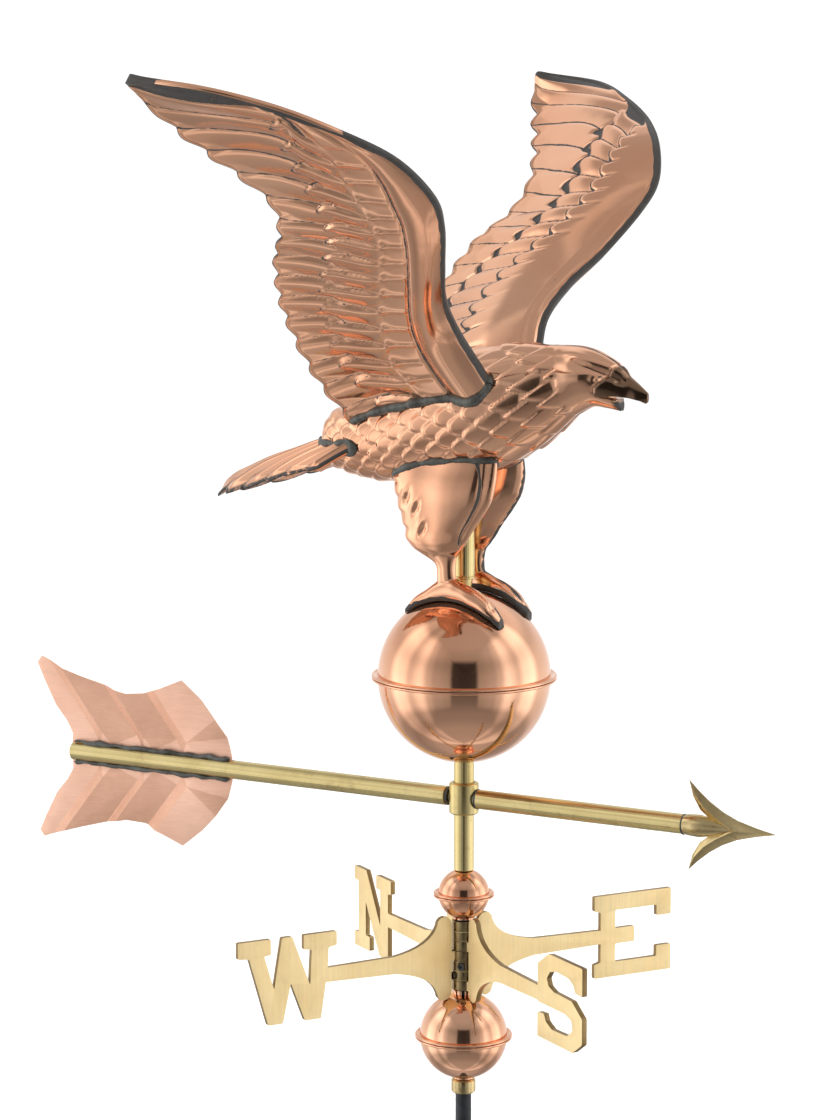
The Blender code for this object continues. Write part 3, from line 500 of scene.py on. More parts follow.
def numbered(rows, columns):
    """The point numbers of a grid, row by row."""
    return np.arange(rows * columns).reshape(rows, columns)


def quads(*corners):
    """Four grids of point numbers, one for each corner, as a list of quads."""
    return np.stack(corners, axis=-1).reshape(-1, 4)


def closed_sheet(name, upper, lower):
    """A closed shell from two grids of points that run side by side, joined round their rims."""
    index = numbered(*upper.shape[:2])
    points = np.concatenate([upper.reshape(-1, 3), lower.reshape(-1, 3)])
    over = quads(index[:-1, :-1], index[1:, :-1], index[1:, 1:], index[:-1, 1:])
    rim = np.concatenate([index[0, :], index[1:, -1], index[-1, -2::-1], index[-2:0:-1, 0]])
    after = np.roll(rim, -1)
    sides = quads(rim, after, after + index.size, rim + index.size)
    return mesh_of(name, points, np.concatenate([over, over[:, ::-1] + index.size, sides]).tolist())


def bands(index):
    """Quads between the rows of a grid of point numbers whose columns run all the way round."""
    around = np.roll(index, -1, axis=1)
    return quads(index[:-1], around[:-1], around[1:], index[1:]).tolist()


def closed_loft(name, rings):
    """A closed solid from a grid whose columns run all the way round."""
    index = numbered(*rings.shape[:2])
    return mesh_of(name, rings.reshape(-1, 3), bands(index) + [index[0].tolist(), index[-1].tolist()])


def closed_ring(name, rings):
    """A ring-shaped solid from a grid whose rows and columns both run all the way round."""
    index = numbered(*rings.shape[:2])
    return mesh_of(name, rings.reshape(-1, 3), bands(np.concatenate([index, index[:1]])))


BEAD_STEP = 0.9
BEAD_SIDES = 14


def bead(name, path, radius, uneven, closed=False):
    """An uneven round bead of solder on the vane along a path of points in millimetres."""
    path = np.asarray(path, dtype=float)
    if closed:
        for _ in range(3):
            path = (np.roll(path, 1, axis=0) + 2.0 * path + np.roll(path, -1, axis=0)) / 4.0
        path = np.concatenate([path, path[:1]])
    steps = np.r_[0.0, np.cumsum(np.linalg.norm(np.diff(path, axis=0), axis=1))]
    count = max(int(steps[-1] / BEAD_STEP), 8)
    at = np.linspace(0.0, steps[-1], count, endpoint=not closed)
    line = np.stack([np.interp(at, steps, path[:, axis]) for axis in range(3)], axis=1)
    ahead = np.roll(line, -1, axis=0) - np.roll(line, 1, axis=0)
    if not closed:
        ahead[0] = line[1] - line[0]
        ahead[-1] = line[-1] - line[-2]
    ahead /= np.linalg.norm(ahead, axis=1, keepdims=True)
    side = np.cross(ahead, (0.13, 0.21, 0.97))
    side /= np.linalg.norm(side, axis=1, keepdims=True)
    rise = np.cross(side, ahead)
    lumps = 1.0 + uneven * waver(*line.T, 23.0) + 0.25 * uneven * waver(*line.T, 8.0, 1.0)
    reach = radius * lumps
    if not closed:
        ends = smooth(at, 0.0, 2 * radius) * smooth(steps[-1] - at, 0.0, 2 * radius)
        reach = reach * np.sqrt(np.clip(ends, 0.02, 1))
    angles = np.linspace(0.0, 2 * np.pi, BEAD_SIDES, endpoint=False)[None, :, None]
    spokes = np.cos(angles) * side[:, None] + np.sin(angles) * rise[:, None]
    rings = line[:, None] + reach[:, None, None] * spokes
    rings += (0.10 * radius * waver(*np.moveaxis(rings, -1, 0), 3.0, 2.0))[..., None] * rise[:, None]
    mesh = closed_ring(name, rings) if closed else closed_loft(name, rings)
    return new_piece(name, mesh, SOLDER_METAL, "vane")


def seam_on_body(sheet, columns):
    """Where each of the given columns of a sheet first comes out of the body."""
    first = np.argmax(outside_body(sheet) > 0.0, axis=0)
    return np.array([sheet[first[column], column] for column in columns])


# ---------------------------------------------------------------- eagle: body form

# Body stations: x, top, bottom, half width, in millimetres
BODY = np.array([
    (-93.0, 446.0, 433.0, 5.0), (-89.0, 453.0, 426.0, 13.0), (-77.0, 461.0, 420.5, 21.0),
    (-60.0, 468.0, 417.0, 26.5), (-36.0, 479.0, 416.5, 31.0), (-8.0, 491.0, 421.5, 33.5),
    (14.0, 498.0, 425.0, 33.5), (30.0, 500.5, 429.5, 31.5), (44.0, 501.0, 437.5, 28.0),
    (56.0, 501.0, 445.5, 24.0), (66.0, 501.0, 454.0, 20.0), (76.0, 500.5, 462.5, 17.5),
    (85.0, 498.5, 466.5, 15.0), (93.0, 495.0, 466.0, 11.5), (100.0, 490.5, 465.0, 8.0),
    (106.0, 485.0, 464.0, 5.5), (112.0, 480.5, 466.0, 3.6), (118.0, 475.5, 471.0, 0.9)])
MOUTH = [(91.0, 472.9), (100.0, 473.7), (108.0, 472.8), (114.0, 471.2), (118.5, 468.6), (121.0, 458.0),
         (103.0, 458.0), (101.9, 463.5), (100.4, 468.0), (98.8, 471.4)]


def body_measures(x):
    top = smooth_table(x, BODY[:, 0], BODY[:, 1])
    bottom = smooth_table(x, BODY[:, 0], BODY[:, 2])
    half_width = smooth_table(x, BODY[:, 0], BODY[:, 3])
    return (top + bottom) / 2, (top - bottom) / 2, np.maximum(half_width, 0.5)


def outside_body(points):
    """Positive outside the body's form, negative inside it."""
    centre, rise, half_width = body_measures(points[..., 0])
    level = (points[..., 1] / half_width) ** 2 + ((points[..., 2] - centre) / rise) ** 2 - 1.0
    beyond = np.maximum(BODY[0, 0] - points[..., 0], points[..., 0] - BODY[-1, 0])
    return np.where(beyond > 0, 1.0, level)


SCALE_PLACES = [-93.0, -60.0, 0.0, 40.0, 80.0]
SCALE_LENGTHS = [10.0, 14.0, 17.5, 19.0, 19.0]
SCALE_WIDTHS = [8.5, 10.5, 12.5, 15.0, 15.0]
SCALE_LAYERS = 3


def scale_relief(x, z, centre):
    """Overlapping scales pressed into the body's sides: height, and how deep in a valley a point lies, which
    the body paints as shade.
    """
    pitch_u = np.interp(x, SCALE_PLACES, SCALE_LENGTHS)
    pitch_v = np.interp(x, SCALE_PLACES, SCALE_WIDTHS)
    reach = np.linspace(-100.0, 130.0, 461)
    steps = np.cumsum(0.5 / np.interp(reach, SCALE_PLACES, SCALE_LENGTHS))
    lean = np.interp(x, [-80, 0, 50, 90], [0.10, 0.05, -0.3, -0.6])
    u = np.interp(x, reach, steps) * 2.0 + lean * (z - centre) / pitch_u
    v = (z - centre) / pitch_v
    pointed = smooth(x, 8.0, 50.0)
    height = np.zeros_like(x)
    valley = np.zeros_like(x)
    row = np.floor(u)
    for ahead in range(SCALE_LAYERS):
        place = row + ahead
        along = place - u
        odd = np.mod(place, 2) * 0.5
        sideways = 1.0 - 2.0 * np.abs(np.mod(v - odd, 1.0) - 0.5)
        round_edge = 1.55 * np.sqrt(np.clip(1.0 - sideways ** 2.2, 0.0, 1.0))
        point_edge = 1.9 * (1.0 - sideways)
        depth = round_edge * (1 - pointed) + point_edge * pointed - along
        dome = 0.55 + 0.45 * np.sqrt(np.clip(1.0 - sideways ** 2, 0.0, 1.0))
        climb = 0.30 + 0.70 * np.clip(along / 1.4, 0.0, 1.0)
        lip = 0.70 + 0.30 * smooth(depth, 0.0, 0.40)
        over = smooth(depth, -0.02, 0.14) * (along >= -0.6)
        height = height + (dome * climb * lip - height) * over
        # Painted shade: darkness in the valley just outside each scale's edge.
        valley = np.maximum(valley * (1.0 - over), spot(depth + 0.02, 0.055) * (along > 0.0))
    return height, valley


# Crest of the brow: x, z; it runs back from above the beak along the side of the crown
BROW = np.array([(66.0, 497.0), (76.0, 495.3), (86.0, 492.6), (93.0, 490.2), (99.0, 487.8), (104.0, 485.2)])
EYE = (91.5, 483.0)
BODY_ROWS = 400
BODY_COLUMNS = 240


def behind_beak(x, z):
    """How far ahead of the beak's slanted root a point lies, in millimetres."""
    return x - 89.0 - 0.9 * np.maximum(z - 478.0, 0.0)


def head_relief(x, z):
    """Brow ridge, eye socket, eye, cheek and the step where the beak begins."""
    line = np.interp(x, BROW[:, 0], BROW[:, 1])
    brow = 1.5 * spot(z - line - 0.8, 2.4) * (smooth(x, 64.0, 80.0) * drop(x, 103.0, 107.0))
    under = -1.8 * spot(z - line + 3.2, 1.9) * smooth(x, 74.0, 92.0) * drop(x, 102.0, 108.0)
    socket = -1.3 * spot(np.hypot((x - EYE[0]) / 1.5, z - EYE[1]), 2.8)
    eye = 1.6 * spot(np.hypot(x - EYE[0], z - EYE[1]), 1.6)
    cheek = 1.4 * spot(np.hypot((x - 80.0) / 1.7, z - 484.0), 5.0)
    nostril = -0.8 * spot(np.hypot((x - 101.5) / 1.5, z - 481.5), 1.0)
    cere = -0.9 * spot(behind_beak(x, z), 0.9) * smooth(z, 474.0, 477.0)
    return brow + under + socket + eye + cheek + nostril + cere


def body_relief(x, z):
    scales, valley = scale_relief(x, z, body_measures(x)[0])
    face = smooth(x + 0.30 * (z - 480.0), 66.0, 71.0)
    return blend(scales * 2.1, 1.1 + head_relief(x, z), face), valley * (1.0 - face)


def inside_outline(x, z, outline):
    """True where (x, z) lies inside a closed outline."""
    result = np.zeros_like(x, dtype=bool)
    for (x0, z0), (x1, z1) in zip(outline, outline[1:] + outline[:1]):
        if z0 != z1:
            result ^= ((z0 > z) != (z1 > z)) & (x < (x1 - x0) * (z - z0) / (z1 - z0) + x0)
    return result


def baked(item):
    """The mesh an object has once its modifiers are applied; the object itself is removed."""
    result = bpy.data.meshes.new_from_object(item.evaluated_get(bpy.context.evaluated_depsgraph_get()))
    bpy.data.objects.remove(item)
    return result


def cut_mesh(mesh, outline, reach):
    """The mesh with a prism along Y, over an XZ outline in millimetres, cut out of it."""
    count = len(outline)
    points = [(x, -reach, z) for x, z in outline] + [(x, reach, z) for x, z in outline]
    faces = [tuple(range(count)), tuple(range(2 * count - 1, count - 1, -1))]
    faces += [(index, index + count, (index + 1) % count + count, (index + 1) % count)
              for index in range(count)]
    item = add_object("cut_target", mesh)
    cutter = add_object("cutter", mesh_of("cutter", points, faces))
    boolean = item.modifiers.new("cut", "BOOLEAN")
    boolean.operation = "DIFFERENCE"
    boolean.solver = "EXACT"
    boolean.object = cutter
    result = baked(item)
    bpy.data.objects.remove(cutter)
    return result


def body_rings():
    """Cross-sections of the body and head from tail end to beak, with scales and face pressed in."""
    x, angle = sweep(BODY[0, 0], BODY[-1, 0] - 0.2, BODY_ROWS, BODY_COLUMNS)
    centre, rise, half_width = body_measures(x)
    y = half_width * np.cos(angle)
    z = centre + rise * np.sin(angle)
    height, _ = body_relief(x, z)
    seam = smooth(np.abs(np.cos(angle)), 0.03, 0.22)
    taper = smooth(x, -93.0, -86.0) * (1.0 - 0.8 * smooth(x, 100.0, 116.0))
    offset = (soften(height, 1) * seam - 1.0) * taper + 0.5 * (1.0 - seam) * taper
    normal_y = np.cos(angle) / half_width
    normal_z = np.sin(angle) / rise
    length = np.hypot(normal_y, normal_z)
    return np.stack([x, y + offset * normal_y / length, z + offset * normal_z / length], axis=-1)


def build_body():
    mesh = cut_mesh(closed_loft("eagle_body", body_rings()), MOUTH, 20.0)
    mesh.name = "eagle_body"
    mesh.shade_smooth()
    mesh.materials.clear()
    x, y, z = positions(mesh).T
    _, valley = body_relief(x, z)
    width = body_measures(x)[2]
    ridge_line = spot(np.abs(y), 1.5 + 0.5 * waver(x, y, z, 9.0)) * (1.0 - smooth(x, 99.0, 106.0) * 0.6)
    # Painted shade inside the mouth.
    mouth = inside_outline((x - 104.0) / 1.05 + 104.0, (z - 470.0) / 1.10 + 470.0, MOUTH)
    mouth &= np.abs(y) < 0.8 * width
    # Painted shade in the eye socket, just above the eye.
    socket = 0.72 * spot(np.hypot((x - EYE[0] - 1.0) / 2.0, z - EYE[1] - 1.6), 1.1)
    upper_beak = smooth(behind_beak(x, z), -1.0, 1.8) * smooth(z, 472.4, 473.4)
    lower_beak = smooth(x, 97.5, 99.5) * drop(z, 472.4, 473.4)
    heat = spot(np.hypot(x - 30.0, z - 438.0), 16.0) * (0.55 + 0.45 * waver(x, y, z, 9.0))
    # Solder darkens the seam along the ridge line; the scale valleys, the mouth and the eye socket get
    # painted shade.
    put_marks(mesh, patina=np.maximum.reduce([ridge_line * 0.95, valley * 0.60, mouth * 1.0, socket]),
              bronze=0.95 * (upper_beak + lower_beak), heat=np.clip(heat, 0.0, 1.0))
    new_piece("eagle_body", mesh, EAGLE_COPPER, "vane", ("body_left", "body_right"))


# ---------------------------------------------------------------- eagle: wings

# Wing edges of the right wing, root to tip, matched across the wing, in millimetres
LEADING_EDGE = [(36, -14, 462), (32, -32, 485), (26, -53, 511), (30, -75, 530), (42, -98, 549),
                (54, -120, 572), (57, -136, 589), (47, -158, 609), (28, -184, 624), (2, -206, 637),
                (-30, -229, 647), (-72, -234, 652)]
TRAILING_EDGE = [(-58, -12, 440), (-64, -30, 459), (-69, -50, 479), (-70, -72, 503), (-66, -95, 528),
                 (-56, -116, 552), (-43, -132, 567), (-38, -148, 584), (-46, -171, 601), (-57, -192, 616),
                 (-67, -210, 631), (-78, -228, 648)]
CAMBER = 4.0
SHEET = 0.8
WING_ROWS = 325
WING_COLUMNS = 150

# Outer face: how far back from the leading edge each row of feathers ends, by place along the wing
SEAM_LINE = [(0.0, 0.22), (0.10, 0.265), (0.21, 0.26), (0.30, 0.225), (0.39, 0.21), (0.475, 0.225),
             (0.555, 0.24), (0.61, 0.20), (0.70, 0.10), (0.78, 0.03), (1.0, 0.02)]
BEAD_LINE = [(0.0, 0.40), (0.128, 0.455), (0.165, 0.475), (0.215, 0.445), (0.252, 0.425), (0.305, 0.40),
             (0.34, 0.375), (0.41, 0.355), (0.442, 0.355), (0.49, 0.38), (0.542, 0.41), (0.588, 0.42),
             (0.633, 0.395), (0.70, 0.25), (0.78, 0.08), (1.0, 0.03)]
TIP_LINE = [(0.0, 0.70), (0.118, 0.74), (0.165, 0.765), (0.21, 0.785), (0.26, 0.77), (0.30, 0.75),
            (0.342, 0.72), (0.385, 0.70), (0.422, 0.67), (0.46, 0.64), (0.52, 0.65), (0.592, 0.67),
            (0.65, 0.655), (0.70, 0.535), (0.748, 0.34), (0.785, 0.15), (0.83, 0.05), (1.0, 0.04)]
# Edges between feathers, root to tip: place along the wing at the seam, bead, median tip, notch, rear edge
OUTER_EDGES = np.array([
    (0.030, 0.035, 0.050, 0.040, 0.030), (0.080, 0.085, 0.110, 0.103, 0.100),
    (0.122, 0.128, 0.165, 0.162, 0.168), (0.155, 0.168, 0.210, 0.210, 0.222),
    (0.195, 0.213, 0.255, 0.260, 0.278), (0.238, 0.255, 0.297, 0.302, 0.327),
    (0.285, 0.300, 0.340, 0.345, 0.373), (0.330, 0.342, 0.377, 0.385, 0.417),
    (0.370, 0.377, 0.411, 0.422, 0.467), (0.402, 0.410, 0.447, 0.466, 0.530),
    (0.437, 0.446, 0.493, 0.527, 0.594), (0.477, 0.490, 0.547, 0.590, 0.662),
    (0.522, 0.540, 0.602, 0.648, 0.731), (0.565, 0.588, 0.656, 0.700, 0.801),
    (0.610, 0.634, 0.710, 0.746, 0.876), (0.650, 0.680, 0.760, 0.788, 0.950),
    (0.700, 0.730, 0.810, 0.835, 1.040)])
# Inner face: ends of the smooth part and of the median row, and the edges between its feathers
SMALL_LINE = [(0.0, 0.50), (0.185, 0.52), (0.24, 0.535), (0.302, 0.515), (0.338, 0.49), (0.37, 0.46),
              (0.40, 0.42), (0.435, 0.40), (0.50, 0.388), (0.57, 0.38), (0.605, 0.345), (0.642, 0.29),
              (0.678, 0.20), (0.71, 0.07), (0.76, 0.02), (1.0, 0.02)]
GAP_LINE = [(0.0, 0.86), (0.29, 0.85), (0.322, 0.835), (0.358, 0.785), (0.39, 0.745), (0.413, 0.68),
            (0.438, 0.625), (0.482, 0.598), (0.55, 0.60), (0.602, 0.58), (0.652, 0.53), (0.698, 0.435),
            (0.732, 0.315), (0.778, 0.12), (0.82, 0.04), (1.0, 0.04)]
# Place along the wing at the small tips, the median tips, the notches behind them and the rear edge
INNER_EDGES = np.array([
    (0.00, 0.00, 0.02, 0.00), (0.04, 0.05, 0.07, 0.05), (0.09, 0.10, 0.12, 0.10), (0.14, 0.15, 0.165, 0.15),
    (0.182, 0.20, 0.21, 0.20), (0.221, 0.247, 0.255, 0.25), (0.260, 0.288, 0.30, 0.30),
    (0.300, 0.322, 0.342, 0.347), (0.336, 0.356, 0.380, 0.393), (0.369, 0.387, 0.412, 0.440),
    (0.401, 0.415, 0.443, 0.492), (0.434, 0.445, 0.485, 0.551), (0.474, 0.490, 0.542, 0.613),
    (0.522, 0.547, 0.605, 0.686), (0.568, 0.601, 0.664, 0.764), (0.606, 0.652, 0.713, 0.842),
    (0.642, 0.696, 0.759, 0.925), (0.675, 0.735, 0.805, 0.995), (0.705, 0.780, 0.85, 1.07)])


def wing_middle(across, along):
    lead = edge_curve(LEADING_EDGE, along)
    trail = edge_curve(TRAILING_EDGE, along)
    return lead + (trail - lead) * across[..., None]


def wing_normal(across, along):
    """Direction of the wing's upper, inner face."""
    step = 0.01
    chord = wing_middle(across + step, along) - wing_middle(across - step, along)
    outward = wing_middle(across, np.minimum(along + step, 1.0))
    span = outward - wing_middle(across, np.maximum(along - step, 0.0))
    normal = np.cross(chord, span)
    normal /= np.linalg.norm(normal, axis=-1, keepdims=True)
    return normal * np.where(normal[..., 2:3] > 0, 1.0, -1.0)


def feather_place(along, station, stops, edges):
    """Which feather a point lies in, counted from the root, with its fraction across that feather."""
    count = np.zeros_like(along)
    for low, high in zip(edges[:-1], edges[1:]):
        start = np.interp(station, stops, low)
        end = np.interp(station, stops, high)
        count += np.clip((along - start) / (end - start), 0.0, 1.0)
    return count


def station_of(across, along, lines):
    """Row coordinate: 0 at the leading edge, one more at each line, and the last at the rear edge."""
    station = np.zeros_like(across)
    before = np.zeros_like(across)
    for number, line in enumerate(lines + [[(0.0, 1.0), (1.0, 1.0)]]):
        here = np.maximum(smooth_table(along, *zip(*line)), before + 0.004)
        part = (across - before) / (here - before)
        station = np.where(part >= 0.0, number + np.minimum(part, 1.0), station)
        before = here
    return station


def to_edge(part):
    """How far a fraction is from the nearer of 0 and 1."""
    return np.minimum(part, 1.0 - part)


def barrel(fraction, lean, fullness):
    """A feather's cross-section, from 0 in the valleys to 1 on its crest."""
    return np.abs(np.sin(np.pi * fraction ** lean)) ** fullness


def shingle(fraction, crest):
    """A slanted cross-section: a slow climb from one edge to a crest, then a quick fall to the other."""
    climb = np.sin(0.5 * np.pi * np.clip(fraction / crest, 0.0, 1.0)) ** 1.2
    fall = np.cos(0.5 * np.pi * np.clip((fraction - crest) / (1.0 - crest), 0.0, 1.0)) ** 0.9
    return np.where(fraction < crest, climb, fall)


def tip_shape(fraction):
    return np.sin(np.pi * np.clip(fraction, 0.0, 1.0) ** 1.5)


def outer_relief(across, along):
    """Feathers of the outer face: height in millimetres and painted shade in the valleys and seams between
    feathers and just beyond their tips.
    """
    station = station_of(across, along, [SEAM_LINE, BEAD_LINE, TIP_LINE])
    part = feather_place(along, station, [1, 2, 3], OUTER_EDGES[:, :3]) % 1.0
    long_part = feather_place(along, station, [3, 4], OUTER_EDGES[:, 3:]) % 1.0
    far = smooth(along, 0.50, 0.70)
    near = drop(along, 0.62, 0.70)
    slanted = 0.55 * barrel(long_part, 1.35, 0.62 - 0.34 * far) + 0.45 * shingle(long_part, 0.72)
    long_row = 2.3 * slanted * (1.0 - 0.25 * far)
    edge = 2.62 + 0.50 * tip_shape(part)
    on_median = drop(station, edge - 0.07, edge + 0.08)
    median = 1.0 + 2.5 * shingle(part, 0.76) * (0.65 + 0.35 * smooth(station, 2.0, 2.5))
    row = blend(long_row, median, on_median)
    short = 1.6 + 0.9 * spot(to_edge(part), 0.085) * smooth(station, 1.0, 1.25)
    row = blend(row, short, drop(station, 1.95, 2.10))
    row += 1.1 * spot(station - 2.0, 0.24) * spot(to_edge(part), 0.24) * drop(along, 0.66, 0.74)
    arm = 0.4 + 4.2 * np.sin(np.pi * np.clip(station, 0.0, 1.0)) ** 0.75 * drop(along, 0.60, 0.74)
    height = blend(row, arm, drop(station, 0.96, 1.03)) - 0.8 * spot(station - 1.0, 0.05) * near
    # Painted shade: the valleys between long feathers, just beyond the median tips, the groove at the seam
    # line and between median feathers.
    valley = spot(to_edge(long_part), 0.06) * (1.0 - on_median) * (0.62 + 0.1 * far)
    tips = spot(station - edge - 0.05, 0.045) * 0.68
    groove = spot(station - 1.0, 0.035) * 0.8 * near
    between = spot(to_edge(part), 0.05) * on_median * smooth(station, 2.1, 2.3) * 0.66
    return height, np.maximum.reduce([valley, tips, groove, between]), station


def inner_relief(across, along):
    """Feathers of the inner face: height in millimetres and painted shade in the valleys, gaps and creases.
    """
    station = station_of(across, along, [SMALL_LINE, GAP_LINE])
    part = feather_place(along, station, [1, 2], INNER_EDGES[:, :2]) % 1.0
    long_part = feather_place(along, station, [2, 3], INNER_EDGES[:, 2:]) % 1.0
    fade = drop(along, 0.71, 0.77)
    near_root = drop(along, 0.36, 0.48)
    long_row = 1.7 * (0.6 * barrel(long_part, 1.25, 0.33) + 0.4 * shingle(long_part, 0.80))
    edge = 1.80 + 0.22 * tip_shape(part)
    on_median = drop(station, edge - 0.03, edge + 0.04)
    slanted = 0.6 * barrel(part, 1.3, 0.4) + 0.4 * shingle(part, 0.78)
    median = 1.6 + 1.6 * slanted * (0.6 + 0.4 * smooth(station, 1.0, 1.7))
    # A trench cut in behind the median tips; its darkness is a painted shadow.
    trench = spot(station - edge - 0.09, 0.08) * (1.0 - 0.25 * smooth(along, 0.5, 0.65)) * fade
    row = blend(long_row, median, on_median) - 1.6 * trench
    small_edge = 0.90 + 0.20 * tip_shape(part)
    on_small = drop(station, small_edge - 0.03, small_edge + 0.04)
    line = spot(to_edge(part), 0.07) * smooth(station, 0.60, 0.85)
    height = blend(row, 3.0 - 0.8 * line, on_small) - 2.2 * (drop(across, 0.075, 0.115) * near_root)
    # Painted shade in the crease near the root, in the valleys and gaps, beyond the small tips and along the
    # lines between small feathers.
    crease = spot(across - 0.095, 0.010) * near_root * 0.5
    valley = drop(barrel(long_part, 1.25, 1.0), 0.0, 0.24) * (1.0 - on_median) * 0.72
    between = drop(barrel(part, 1.3, 1.0), 0.0, 0.22) * on_median * (1.0 - on_small) * 0.72
    tips = spot(station - small_edge - 0.03, 0.05) * 0.75 * fade
    lines = line * on_small * 0.7 * fade
    return height, np.maximum.reduce([valley, between, tips, 1.35 * trench, crease, lines]), station


def wing_marks(side, face, points, along, across, chord):
    """Darkness of a face's rims, and its warmth where the hidden root was heated."""
    x, y, z = np.moveaxis(points, -1, 0)
    wave = waver(x, y, z, 21.0)
    if side < 0:
        width = 2.3 + 0.35 * wave + (0.5 + 0.7 * wave) * smooth(along, 0.62, 0.76)
    else:
        width = 2.7 + 1.3 * spot(along - 0.70, 0.12) + 0.4 * wave - 1.6 * smooth(along, 0.82, 0.97)
    inward = across * chord
    bare = drop(inward, 0.7, 1.5) * smooth(along, 0.70, 0.76) * (side < 0)
    lead = drop(inward, width - 0.5, width + 0.5) * (1.0 - bare)
    end = drop((1.0 - along) * 250.0, 0.4 + 0.6 * waver(x, y, z, 7.0), 2.0)
    rear = drop((1.0 - across) * chord, 0.2, 1.1) * 0.9
    warm = drop(along, 0.12, 0.34) * (face < 0) * (0.75 + 0.5 * waver(x, y, z, 14.0))
    return np.maximum.reduce([lead, end, rear]), warm


def build_wing(side, name):
    """One closed wing; side is -1 for the right wing and 1 for the left."""
    along, across = np.meshgrid(np.linspace(0.0, 1.0, WING_ROWS), np.linspace(0.0, 1.0, WING_COLUMNS),
                                indexing="ij")
    along = along - 0.05 * smooth(along, 0.84, 1.0) * np.abs(2.0 * across - 1.0) ** 2.5
    quill = feather_place(along, np.full_like(along, 4.0), [3, 4], OUTER_EDGES[:, 3:])
    scallop = tip_shape(quill % 1.0) - 0.55
    reach = 1.0 + smooth(across, 0.75, 1.0) * scallop * (0.035 + 0.05 * smooth(along, 0.6, 0.9))
    middle = wing_middle(across * reach, along)
    normal = wing_normal(across, along)
    chord = np.linalg.norm(edge_curve(TRAILING_EDGE, along) - edge_curve(LEADING_EDGE, along), axis=-1)
    taper = 1.0 - 0.72 * along
    camber = CAMBER * np.sin(np.pi * across) * taper
    rim = smooth(across * chord, 0.6, 5.0) * smooth((1.0 - across) * chord, 0.0, 2.5)
    rim = rim * smooth(1.0 - along, 0.0, 0.03)
    outer_bulge = 8.5 * np.sin(np.pi * across ** 0.5) ** 1.5
    inner_bulge = 7.5 * np.sin(np.pi * np.minimum(across / 0.9, 1.0) ** 0.75) ** 1.2
    faces = {}
    dark = {}
    heat = {}
    for face, relief, bulge in ((-1, outer_relief, outer_bulge), (1, inner_relief, inner_bulge)):
        height, relief_shade, station = relief(across, along)
        height = soften(height, 2)
        lift = 0.15 + SHEET + bulge * taper + (height - 2.0 * rim) * rim * (1.0 - 0.35 * along)
        faces[face] = middle + normal * (camber + face * np.maximum(lift, 0.6))[..., None]
        rims, warm = wing_marks(side, face, faces[face], along, across, chord)
        # Painted shade from the relief, joined with the real solder rims.
        dark[face] = np.maximum(relief_shade, rims)
        heat[face] = np.clip(warm * smooth(station, 2.6, 3.1), 0.0, 1.0)
        faces[face][..., 1] *= -side
    mesh = closed_sheet(name, faces[1], faces[-1])
    put_marks(mesh, patina=(dark[1], dark[-1]), heat=(heat[1], heat[-1]))
    half = name.replace("eagle_", "")
    new_piece(name, mesh, EAGLE_COPPER, "vane", (half + "_inner", half + "_outer"))
    columns = range(0, WING_COLUMNS, 4)
    loop = np.concatenate([seam_on_body(faces[1], columns), seam_on_body(faces[-1], columns)[::-1]])
    bead(f"solder_{half}", loop, 3.0, 0.35, closed=True)


# ---------------------------------------------------------------- eagle: tail

TAIL = np.array([(-52.0, 447.5, 20.0, 5.0), (-62.0, 445.0, 33.0, 11.0), (-78.0, 440.0, 40.0, 15.0),
                 (-99.0, 433.0, 35.0, 13.0), (-114.0, 427.5, 29.0, 11.5), (-130.0, 422.0, 22.0, 11.0),
                 (-146.0, 415.5, 15.0, 9.0), (-160.0, 409.0, 9.0, 6.0), (-172.0, 399.0, 3.5, 1.0)])[::-1]
# Tips of the tail feathers from the middle outward: x, y
TAIL_TIPS = [(-171.0, 0.0), (-158.0, 10.0), (-135.0, 19.5), (-117.0, 27.5), (-99.0, 34.0), (-80.0, 38.5)]
TAIL_ROWS = 170
TAIL_COLUMNS = 150


